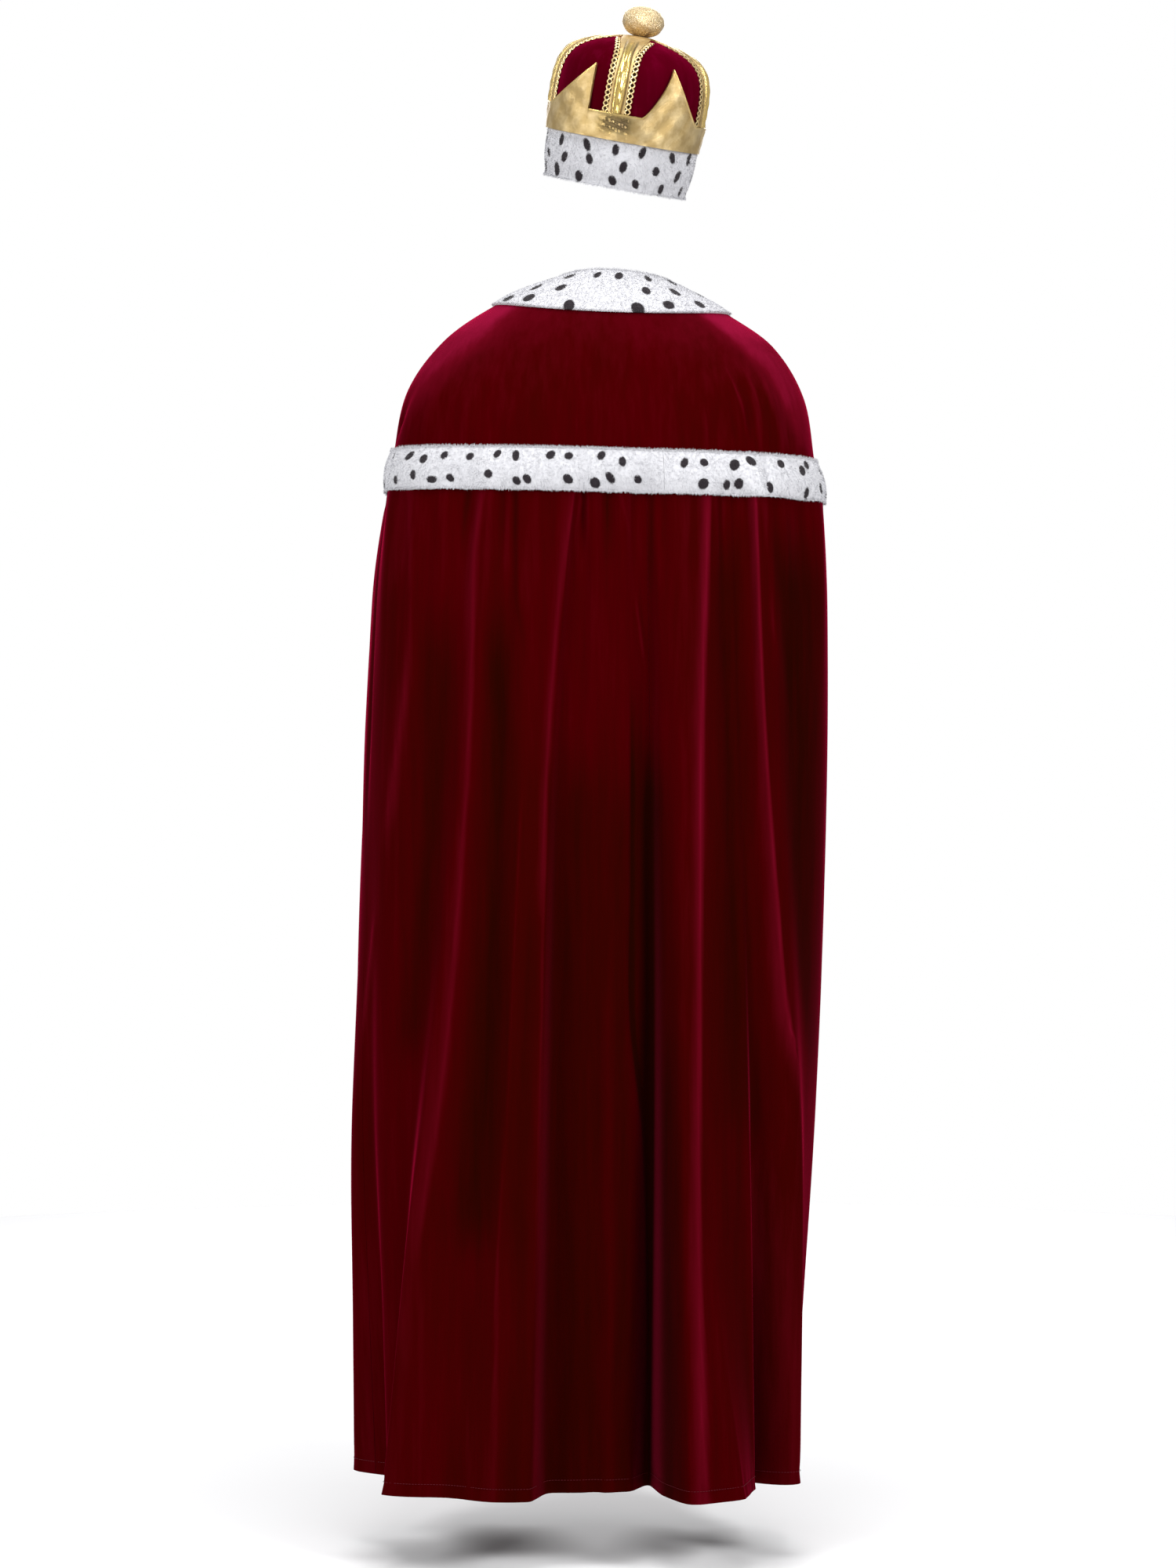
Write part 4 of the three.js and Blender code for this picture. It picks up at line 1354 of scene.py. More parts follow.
        small = bend(self.crease_out, 3.0) + bend(self.gather_out, 3.0)
        large = bend(self.fold_out, 9.0)
        total = sum(share * smooth_step(out[..., 2], start, end) for share, start, end in self.SLOPES)
        for share, value, full in ((0.3, small, self.SMALL_BEND), (0.1, large, self.LARGE_BEND)):
            total = total + share * np.clip(value / full, -1, 1)
        for lane in self.lanes:
            total += lane.value(columns, heights)
        return total

    def surface(self, columns: np.ndarray, heights: np.ndarray, fine: bool = True) -> np.ndarray:
        """Outer surface of the robe.

        Args:
            columns: columns of the cloth.
            heights: heights at the centre back.
            fine: whether the small creases are on it.

        Returns:
            Heights, columns and 3 coordinates, in millimetres.
        """
        points, out = self.base(columns, heights)
        stand = self.fold_out(columns, heights) + self.gather_out(columns, heights)
        if fine:
            stand = stand + self.crease_out(columns, heights)
        return points + out * stand[..., None]

    def frame(
        self, columns: np.ndarray, heights: np.ndarray, fine: bool = True
    ) -> tuple[np.ndarray, np.ndarray]:
        """The surface with its unit normals: each crosses a 6 mm step up with a 4 mm step across.

        Args:
            columns: columns of the cloth.
            heights: heights at the centre back.
            fine: whether the small creases are on it.

        Returns:
            Points and normals, each of heights, columns and 3 coordinates.
        """
        across = self.surface(columns + 2, heights, fine) - self.surface(columns - 2, heights, fine)
        above = np.minimum(heights + 3, NECK)
        below = np.maximum(heights - 3, HEM)
        up = self.surface(columns, above, fine) - self.surface(columns, below, fine)
        return self.surface(columns, heights, fine), unit(np.cross(up, across))

    def columns(self, start: float, end: float, count: int) -> np.ndarray:
        """Columns from one edge to another, closer together where the folds at the hem are steep.

        Args:
            start: the first edge.
            end: the last edge.
            count: how many spans there are.

        Returns:
            The columns, half a gap inside both edges.
        """
        samples = np.linspace(start, end, 1200)
        steep = self.fold_out(samples, np.array([HEM]))[0]
        steps = np.hypot(np.diff(samples), 2.2 * np.diff(steep))
        length = np.concatenate([[0], np.cumsum(steps)])
        made = np.interp(np.linspace(0, length[-1], count + 1), length, samples)
        made[0] += GAP / 2
        made[-1] -= GAP / 2
        return made


@dataclass(frozen=True)
class Panel:
    """A panel of cloth or fur: its name, the edges between which it runs, its grid and its cut."""

    name: str
    start: float
    end: float
    top: float
    foot: float
    across: int
    down: int
    flat: tuple[float, float]
    area: float


STITCH = 2.4
STITCH_SPACE = 1.2
STITCH_THREAD = 0.5


def thread_line(path: np.ndarray, out: np.ndarray) -> tuple[np.ndarray, np.ndarray]:
    """A row of stitches along a line: a small block for each, laid on the surface.

    Args:
        path: points of the line.
        out: unit directions out of the surface at those points.

    Returns:
        Points and four-cornered faces of all the blocks.
    """
    length = np.concatenate([[0], np.cumsum(np.linalg.norm(np.diff(path, axis=0), axis=1))])
    starts = np.arange(STITCH_SPACE, length[-1] - STITCH, STITCH + STITCH_SPACE)

    def along_line(values: np.ndarray, past: float) -> np.ndarray:
        """Each stitch's value at a distance past its start."""
        return np.stack([np.interp(starts + past, length, values[:, k]) for k in range(3)], -1)

    ends = [along_line(path, 0), along_line(path, STITCH)]
    normal = unit(along_line(out, STITCH / 2))
    aside = unit(np.cross(normal, unit(ends[1] - ends[0]))) * (STITCH_THREAD / 2)
    corners = []
    for end in ends:
        for high in (-0.2, 0.55):
            for sign in (-1, 1):
                corners.append(end + normal * STITCH_THREAD * high + aside * sign)
    points = np.stack(corners, 1)
    block = np.array([[0, 1, 3, 2], [4, 6, 7, 5], [0, 4, 5, 1], [2, 3, 7, 6], [0, 2, 6, 4], [1, 5, 7, 3]])
    if signed_volume(points[0], block) < 0:
        block = block[:, ::-1]
    faces = (block[None] + 8 * np.arange(len(points))[:, None, None]).reshape(-1, 4)
    return points.reshape(-1, 3), faces


class Robe:
    """The velvet robe: yoke, gathered skirt, neck tab and their stitching."""

    # How far the turned hem stands out, and how deep its stitches and puckers are
    HEM_STEP = 0.7
    HEM_GROOVE = 0.9
    HEM_PUCKER = 0.34
    # How far the stitches of the front lie from its edge, and the neck tab's place, reach and thickness
    FRONT_STITCH = 10
    TAB_HEIGHTS = (-20, -44)
    TAB_REACH = 34
    TAB_THICKNESS = 2.5

    def __init__(self, form: RobeForm, materials: Materials) -> None:
        """Lists the panels.

        Args:
            form: the robe's surface.
            materials: the finishes.
        """
        self.form = form
        self.materials = materials
        left, right, side = form.left_edge, form.right_edge, SIDE_SEAM
        seam, foot = YOKE_SEAM + GAP / 2, YOKE_SEAM - GAP / 2
        self.panels = (
            Panel("yoke_back", -side, side, NECK, seam, 230, 44, (0.62, 0.29), 0.15),
            Panel("yoke_front_left", side, left, NECK, seam, 90, 40, (0.38, 0.27), 0.075),
            Panel("yoke_front_right", right, -side, NECK, seam, 84, 40, (0.34, 0.27), 0.07),
            Panel("skirt_back_left", BACK_SEAM, side, foot, HEM, 185, 108, (0.58, 1.22), 0.56),
            Panel("skirt_back_right", -side, BACK_SEAM, foot, HEM, 155, 108, (0.45, 1.22), 0.42),
            Panel("skirt_front_left", side, left, foot, HEM, 120, 90, (0.5, 1.22), 0.5),
            Panel("skirt_front_right", right, -side, foot, HEM, 110, 90, (0.45, 1.22), 0.44),
        )

    def heights(self, panel: Panel) -> np.ndarray:
        """Rows of a panel, closer together under the band, where the gathers are fine, and at the hem.

        Args:
            panel: the panel.

        Returns:
            Heights from its top down.
        """
        share = np.linspace(0, 1, panel.down + 1)
        if panel.foot > HEM:
            return panel.top + (panel.foot - panel.top) * share
        spread = share**1.35
        tail = smooth_step(share, 0.93, 1.0)
        return panel.top + (panel.foot - panel.top) * (spread + 0.004 * np.sin(np.pi * tail))

    def hem_lift(self, columns: np.ndarray, heights: np.ndarray) -> np.ndarray:
        """How far the turned hem stands out: a low step over the allowance, its stitches' groove, puckers.

        Args:
            columns: columns of the cloth.
            heights: heights at the centre back.

        Returns:
            A row for each height, in millimetres.
        """
        above = heights[:, None] - HEM - HEM_ALLOWANCE
        step = self.HEM_STEP * smooth_step(above, 3, -3)
        groove = self.HEM_GROOVE * np.exp(-((above / 2.2) ** 2))
        wave = np.sin(columns / 3.1) + np.sin(columns / 4.7 + 1.3) + 0.7 * np.sin(columns / 1.9)
        pucker = self.HEM_PUCKER * wave[None] * np.exp(-((above / 14.0) ** 2))
        return step - groove + pucker

    def panel_piece(self, panel: Panel) -> bpy.types.Object:
        """A panel as a wall one cloth thickness deep, with its turned hem.

        Args:
            panel: the panel.

        Returns:
            The piece.
        """
        columns = self.form.columns(panel.start, panel.end, panel.across)
        heights = self.heights(panel)
        points, out = self.form.frame(columns, heights)
        lift = self.hem_lift(columns, heights) if panel.foot == HEM else np.zeros(out.shape[:2])
        parts = MeshParts()
        # The velvet's painted highlights and painted shade, a value at each point
        nap = self.form.nap(columns, heights, out)
        parts.add_shell(points + out * lift[..., None], points - out * CLOTH, inner_slot=1, nap=nap)
        piece = parts.build(f"{panel.name}_velvet", [self.materials.velvet, self.materials.wrong_side])
        place(piece, f"robe_{panel.name}", slot="velvet")
        return piece

    def stitching(self) -> bpy.types.Object:
        """All the stitches that show: along the hem and down both front edges.

        Returns:
            The piece.
        """
        parts = MeshParts()
        form = self.form
        hem = np.array([HEM + HEM_ALLOWANCE])
        for panel in self.panels:
            if panel.foot != HEM:
                continue
            columns = form.columns(panel.start, panel.end, 700)
            points, out = form.frame(columns, hem)
            parts.add(*thread_line(points[0], out[0]))
        heights = np.linspace(BAND_FOOT - 6, HEM + HEM_ALLOWANCE, 300)
        for edge in (form.left_edge - self.FRONT_STITCH, form.right_edge + self.FRONT_STITCH):
            points, out = form.frame(np.array([edge]), heights)
            parts.add(*thread_line(points[:, 0], out[:, 0]))
        return place(parts.build("robe_stitching", [self.materials.thread]), slot="velvet")

    def allowances(self) -> bpy.types.Object:
        """The seam allowances: a strip of cloth inside each upright seam, along all of it.

        Returns:
            The piece.
        """
        parts = MeshParts()
        across = np.linspace(-SEAM_ALLOWANCE, SEAM_ALLOWANCE, 7)
        yoke = np.linspace(NECK - 3, YOKE_SEAM, 44)
        skirt = np.linspace(YOKE_SEAM, HEM + 2, 108)
        for seam, heights in (
            (-SIDE_SEAM, yoke),
            (SIDE_SEAM, yoke),
            (-SIDE_SEAM, skirt),
            (BACK_SEAM, skirt),
            (SIDE_SEAM, skirt),
        ):
            points, out = self.form.frame(seam + across, heights)
            parts.add_shell(points - out * (CLOTH + 2 * GAP), points - out * (CLOTH + 4 * GAP))
        return place(parts.build("robe_seam_allowances", [self.materials.wrong_side]), slot="velvet")

    def tab(self) -> bpy.types.Object:
        """The tab that lies inside both fronts at the neck.

        Returns:
            The piece.
        """
        left, right = self.form.left_edge, self.form.right_edge
        knots = np.array([left - self.TAB_REACH, left, right, right + self.TAB_REACH])
        points, out = self.form.frame(knots, np.linspace(*self.TAB_HEIGHTS, 9), fine=False)
        outer = points - out * (CLOTH + GAP)
        inner = points - out * (CLOTH + GAP + self.TAB_THICKNESS)
        share = np.linspace(0, 3, 40)
        whole = np.minimum(share.astype(int), 2)
        part = (share - whole)[None, :, None]
        grids = [side[:, whole] * (1 - part) + side[:, whole + 1] * part for side in (outer, inner)]
        parts = MeshParts()
        parts.add_shell(*grids)
        piece = parts.build("neck_tab_velvet", [self.materials.velvet])
        return place(piece, "robe_neck_tab", slot="velvet")

    def build(self) -> None:
        """Makes every velvet piece of the robe."""
        for panel in self.panels:
            self.panel_piece(panel)
        self.stitching()
        self.allowances()
        self.tab()


@dataclass(frozen=True)
class Tails:
    """Dark tails of an ermine: staggered rows, each tail a little out of place, with a size and lean."""

    seed: int
    rows: int
    spacing: float
    long: tuple[float, float]
    short: tuple[float, float]
    jitter: float = 0.24
    left_out: float = 0.05

    def depth(self, along: np.ndarray, up: np.ndarray, length: float, height: float) -> np.ndarray:
        """How deep each point lies within a tail, in millimetres, and negative outside.

        A tail is an oval: the depth is 1 less the point's distance from its middle, counted in half widths,
        times the smaller half width.

        Args:
            along: distance of each point along the strip.
            up: distance of each point up the strip.
            length: length of the strip.
            height: height of the strip.

        Returns:
            The greatest depth over all tails, at each point.
        """
        chance = np.random.default_rng(self.seed)
        per_row = int(np.ceil(length / self.spacing)) + 1
        best = np.full(along.shape, -6.0)
        for row in range(self.rows):
            middles = (np.arange(per_row) + (row * 0.5 % 1)) * self.spacing
            middles = middles + chance.uniform(-1, 1, per_row) * self.jitter * self.spacing
            shift = chance.uniform(-1, 1, per_row) * self.jitter * 0.55
            rises = height * ((row + 0.5) / self.rows + shift / self.rows)
            longs = chance.uniform(*self.long, per_row) / 2
            shorts = np.minimum(chance.uniform(*self.short, per_row) / 2, longs)
            leans = np.radians(chance.normal(98, 32, per_row))
            keep = chance.random(per_row) > self.left_out
            kept = np.stack([middles, rises, longs, shorts, leans], 1)[keep]
            for middle, rise, half, narrow, lean in kept:
                near = np.abs(along - middle) < half + 8
                du, dv = along[near] - middle, up[near] - rise
                turned_u = du * np.cos(lean) + dv * np.sin(lean)
                turned_v = -du * np.sin(lean) + dv * np.cos(lean)
                depth = (1 - np.hypot(turned_u / half, turned_v / narrow)) * narrow
                best[near] = np.maximum(best[near], depth)
        return best


@dataclass(frozen=True)
class Pile:
    """Short hairs of the plush: how many for each square centimetre, their length, width and lean."""

    seed: int
    density: float = 45.0
    length: float = 2.6
    width: float = 0.75
    lean: float = 1.7

    def hairs(
        self, grid: np.ndarray, normals: np.ndarray, tail: np.ndarray, comb: np.ndarray, closed: bool
    ) -> tuple[np.ndarray, np.ndarray, np.ndarray]:
        """Hairs on a grid surface, each a bent blade of three triangles.

        A root is a random place in a cell of the grid, chosen as often as the cell is large. The blade
        starts along the normal, bends over towards the combed direction and grows narrower to its tip.

        Args:
            grid: rows, columns and 3 coordinates, in millimetres.
            normals: unit normals of the grid.
            tail: how deep each grid point lies within a tail.
            comb: direction towards which the hair is combed, one or for each grid point.
            closed: whether the last column meets the first.

        Returns:
            Points, three-cornered faces and the tail value of each point.
        """
        chance = np.random.default_rng(self.seed)
        if closed:
            grid, normals, tail = (np.concatenate([a, a[:, :1]], axis=1) for a in (grid, normals, tail))
        comb = np.broadcast_to(comb, grid.shape)
        edge_a = grid[:-1, 1:] - grid[:-1, :-1]
        edge_b = grid[1:, :-1] - grid[:-1, :-1]
        areas = np.linalg.norm(np.cross(edge_a, edge_b), axis=-1)
        count = int(areas.sum() / 100 * self.density)
        cell = chance.choice(areas.size, count, p=areas.ravel() / areas.sum())
        j, i = np.unravel_index(cell, areas.shape)
        s, t = chance.random((2, count))

        def spread(values: np.ndarray) -> np.ndarray:
            """Takes a value at each root from the four corners of its cell.

            Args:
                values: the value at each point of the grid.

            Returns:
                The value at each root.
            """
            shape = (-1,) + (1,) * (values.ndim - 2)
            a, b = s.reshape(shape), t.reshape(shape)
            top = values[j, i] * (1 - a) + values[j, i + 1] * a
            foot = values[j + 1, i] * (1 - a) + values[j + 1, i + 1] * a
            return top * (1 - b) + foot * b

        root, normal, dark, lie = spread(grid), unit(spread(normals)), spread(tail), spread(comb)
        lie = lie + chance.normal(0, 0.55, lie.shape)
        lie = unit(lie - normal * (lie * normal).sum(-1, keepdims=True))
        length = self.length * chance.uniform(0.7, 1.15, count)[:, None]
        lean = self.lean * chance.uniform(0.6, 1.4, count)[:, None]
        middle = root + length * 0.55 * unit(normal + lie * lean * 0.5)
        tip = middle + length * 0.5 * unit(normal * 0.7 + lie * lean * 1.5)
        aside = unit(np.cross(normal, lie) + chance.normal(0, 0.4, lie.shape)) * self.width / 2
        base = root - normal * 0.3
        points = np.stack([base - aside, base + aside, middle - aside * 0.7, middle + aside * 0.7, tip], 1)
        blade = np.array([[0, 1, 3], [0, 3, 2], [2, 3, 4]])
        faces = (blade[None] + 5 * np.arange(count)[:, None, None]).reshape(-1, 3)
        return points.reshape(-1, 3), faces, np.repeat(dark, 5)


def coat(
    piece: bpy.types.Object,
    ground: tuple[np.ndarray, np.ndarray, np.ndarray],
    piles: list[tuple[Pile, slice, np.ndarray]],
    closed: bool = False,
) -> bpy.types.Object:
    """Makes the pile that stands on a piece of plush, as a piece of its own.

    Args:
        piece: the padded ground.
        ground: its outer points, unit normals and tail values, on a grid.
        piles: kinds of hair, each with the rows it stands on and where it is combed.
        closed: whether the last column meets the first.

    Returns:
        The pile.
    """
    parts = MeshParts()
    for pile, rows, comb in piles:
        hairs, faces, dark = pile.hairs(*(values[rows] for values in ground), comb, closed)
        parts.add(hairs, faces, tail=dark)
    made = parts.build(f"{piece.name}_pile", list(piece.data.materials), sharp=180.0)
    return place(made, slot="ermine")


@dataclass(frozen=True)
class FurStrip(Panel):
    """A strip of plush on the robe, with the seed of its tails and hairs."""

    seed: int


class Ermine:
    """The spotted band and the spotted collar of the robe."""

    # How much thinner the padded ground is than the fur with its pile
    BASE_DROP = 2.4
    # Column where the two strips of the band meet
    BAND_JOIN = -76.0

    def __init__(self, form: RobeForm, materials: Materials) -> None:
        """Lists the strips.

        Args:
            form: the robe's surface.
            materials: the finishes.
        """
        self.form = form
        self.materials = materials
        left, right, join = form.left_edge, form.right_edge, self.BAND_JOIN
        top, foot = BAND_TOP, BAND_FOOT
        self.strips = (
            FurStrip("ermine_band_left", join, left, top, foot, 360, 22, (0.78, 0.055), 0.042, 11),
            FurStrip("ermine_band_right", right, join, top, foot, 260, 22, (0.56, 0.055), 0.03, 12),
            FurStrip("ermine_collar", right, left, NECK, COLLAR_HEM, 340, 30, (0.8, 0.075), 0.055, 13),
        )

    def thickness(self, share: np.ndarray) -> np.ndarray:
        """Thickness from the strip's top edge, 0, to its foot, 1: a parabola, thickest in the middle."""
        return FUR_MIDDLE + (FUR_EDGE - FUR_MIDDLE) * (2 * share - 1) ** 2

    def strip_piece(self, strip: FurStrip) -> bpy.types.Object:
        """A strip: its padded ground, with a piece for the pile on it.

        Args:
            strip: the strip.

        Returns:
            The padded ground.
        """
        columns = np.linspace(strip.start + GAP / 2, strip.end - GAP / 2, strip.across + 1)
        heights = np.linspace(strip.top, strip.foot, strip.down + 1)
        share = np.linspace(0, 1, strip.down + 1)
        collar = strip.top == NECK
        thick = (self.thickness(share) - self.BASE_DROP)[:, None] * np.ones(len(columns))
        for at, deep, wide in () if collar else BAND_DENTS:
            thick *= 1 - deep * np.exp(-(((columns - at) / wide) ** 2))
        points, out = self.form.frame(columns, heights, fine=False)
        outer = points + out * (GAP + thick)[..., None]
        inner = points + out * GAP
        steps = np.linalg.norm(np.diff(outer, axis=1), axis=-1)
        along = np.concatenate([np.zeros((len(heights), 1)), np.cumsum(steps, axis=1)], axis=1)
        middle = along[len(heights) // 2]
        along = along / along[:, -1:] * middle[-1]
        falls = np.linalg.norm(np.diff(outer, axis=0), axis=-1)
        drop = np.concatenate([np.zeros((1, len(columns))), np.cumsum(falls, axis=0)], axis=0)
        height = float(drop[-1].mean())
        if collar:
            tails = Tails(strip.seed, 3, 46.0, (12.5, 17.5), (10.5, 14.0))
        else:
            tails = Tails(strip.seed, 2, 31.0, (10.0, 15.5), (8.5, 12.5), 0.34)
        tail = tails.depth(along, height - drop, float(middle[-1]), height)
        parts = MeshParts()
        parts.add_shell(outer, inner, tail=tail)
        piece = parts.build(f"{strip.name}_plush", [self.materials.plush])
        place(piece, strip.name, slot="ermine")
        pile = Pile(strip.seed + 20, length=2.4, lean=1.8) if collar else Pile(strip.seed + 20)
        fringe = Pile(strip.seed + 40, density=200.0, length=3.6, width=0.6, lean=1.0)
        piles = [(pile, ALL_ROWS, DOWN), (fringe, slice(0, 2), -DOWN), (fringe, slice(-2, None), DOWN)]
        coat_piece = coat(piece, (outer, grid_normals(outer, out), tail), piles)
        return piece

    def build(self) -> None:
        """Makes every strip."""
        for strip in self.strips:
            self.strip_piece(strip)


@dataclass(frozen=True)
class Arch:
    """One arch of the crown, by where it stands, in degrees from the back towards the right."""

    name: str
    at: float


@dataclass(frozen=True)
class Point:
    """One point of the gold band: where its foot starts and ends, where its tip is, and how high."""

    start: float
    end: float
    tip: float
    height: float


@dataclass
class CrownForm:
    """The crown hat's shape in its own frame: from the middle of its lower edge, +Z up, +Y at its back."""

    middle: tuple[float, float, float] = (-13, -5, 102)
    lean_right: float = 10
    lean_back: float = 10
    depth_to_width: float = 1.1
    brim_height: float = 55
    brim_foot: float = 88
    brim_top: float = 94
    brim_thickness: float = 9
    brim_bulge: float = 3
    brim_tails: float = 95
    drum_foot: float = 55.3
    drum_top: float = 178
    profile_heights: tuple[float, ...] = (drum_foot, 90, 122, 142, 156, 166, 173, 177, drum_top)
    profile_radii: tuple[float, ...] = (91, 92, 91.5, 87, 77, 62, 44, 26, 9)
    quarter_full: float = 1.2
    valley: float = 87
    band_thickness: float = 1.6
    band_lift: float = 0.9
    band_flare: float = 1.4
    points: tuple[Point, ...] = (
        Point(-73, -32, -29.5, 140),
        Point(10, 60, 29.5, 146),
        Point(96, 148, 124, 143),
        Point(-166, -114, -138, 143),
    )
    arches: tuple[Arch, ...] = (Arch("back", -9), Arch("right", 71), Arch("front", 171), Arch("left", -80))
    arch_height_rows: tuple[float, ...] = (142, 156, 166, 173)
    arch_half_rows: tuple[float, ...] = (9.5, 10, 13, 17)
    arch_edge: float = 2
    arch_roll: float = 7
    roll_end: float = 175
    roll_fade: float = 22
    arch_foot: float = 87.3
    arch_bend: float = 165
    arch_groove: float = 0.42
    max_degrees: float = 33
    braid_width: float = 7
    braid_cord: float = 0.92
    braid_period: float = 6.3
    braid_swing: float = 2.5
    braid_backing: tuple[float, float] = (0.18, 0.82)
    braid_top: float = 173
    ball_height: float = 198.4
    ball_radius: float = 25.5
    ball_half_height: float = 19.2

    def worn(self, points: np.ndarray) -> np.ndarray:
        """Points turned and moved to where the crown sits: leaned to the right, then back, then lifted.

        Args:
            points: points in the crown's own frame.

        Returns:
            The same points where it is worn.
        """
        back, right = np.radians([-self.lean_back, -self.lean_right])
        tip_x = np.array([[1, 0, 0], [0, np.cos(back), -np.sin(back)], [0, np.sin(back), np.cos(back)]])
        tip_y = np.array([[np.cos(right), 0, np.sin(right)], [0, 1, 0], [-np.sin(right), 0, np.cos(right)]])
        return points @ (tip_x @ tip_y).T + np.array(self.middle)

    def radius(self, height: np.ndarray) -> np.ndarray:
        """Radius of the velvet drum at a height."""
        return curve_through(self.profile_heights, self.profile_radii, height)

    def oval(self, reach: np.ndarray, turn: np.ndarray, height: np.ndarray) -> np.ndarray:
        """Points of level ovals, by their half width, the turn in radians and their height."""
        spots = [-reach * np.sin(turn), self.depth_to_width * reach * np.cos(turn), height]
        return np.stack(np.broadcast_arrays(*spots), -1)

    def drum(self, degrees: np.ndarray, height: np.ndarray, lift: np.ndarray | float) -> np.ndarray:
        """Points of the drum: an ellipse round its axis with the profile's radius, moved out by a lift.

        Args:
            degrees: turns from the back towards the right.
            height: heights up the axis.
            lift: how far out of the surface.

        Returns:
            Points in the crown's own frame.
        """
        step = 1.5
        slope = self.radius(height + step) - self.radius(height - step)
        size = np.hypot(2 * step, slope)
        reach = self.radius(height) + lift * 2 * step / size
        turn = np.radians(degrees)
        return self.oval(reach, turn, height - lift * slope / size)

    def arch_half(self, height: np.ndarray) -> np.ndarray:
        """Half the width of an arch, which opens out at the top into a patch under the ball."""
        return curve_through(self.arch_height_rows, self.arch_half_rows, height)

    def sweep(self, height: np.ndarray, half_width: np.ndarray | float) -> np.ndarray:
        """Half of an arch's sweep in degrees: an even width that closes to a wedge near the middle."""
        return np.minimum(np.degrees(half_width / self.radius(height)), self.max_degrees)

    def edge(self, degrees: np.ndarray) -> np.ndarray:
        """Height of the gold band's upper edge: level but for the points, whose sides are powers of 1.35.

        Args:
            degrees: turns from the back.

        Returns:
            The height at each.
        """
        top = np.full(degrees.shape, float(self.valley))
        for point in self.points:
            end = max(point.end, point.tip)
            rising = np.clip((degrees - point.start) / (point.tip - point.start), 0, 1)
            falling = np.clip((point.end - degrees) / (point.end - point.tip), 0, 1)
            share = np.where(degrees <= point.tip, rising, falling)
            within = (degrees > point.start) & (degrees < end)
            height = self.valley + (point.height - self.valley) * share**1.35
            top = np.where(within, np.maximum(top, height), top)
        return top

    def arch_heights(self, count: int) -> np.ndarray:
        """Heights along an arch, evenly spaced along its curve.

        Args:
            count: how many.

        Returns:
            The heights, from the foot up.
        """
        bend = self.arch_bend
        upright, curved = np.linspace(self.arch_foot, bend, 300), np.linspace(bend + 0.1, self.drum_top, 300)
        fine = np.concatenate([upright, curved])
        length = np.concatenate([[0], np.cumsum(np.hypot(np.diff(fine), np.diff(self.radius(fine))))])
        return np.interp(np.linspace(0, length[-1], count), length, fine)


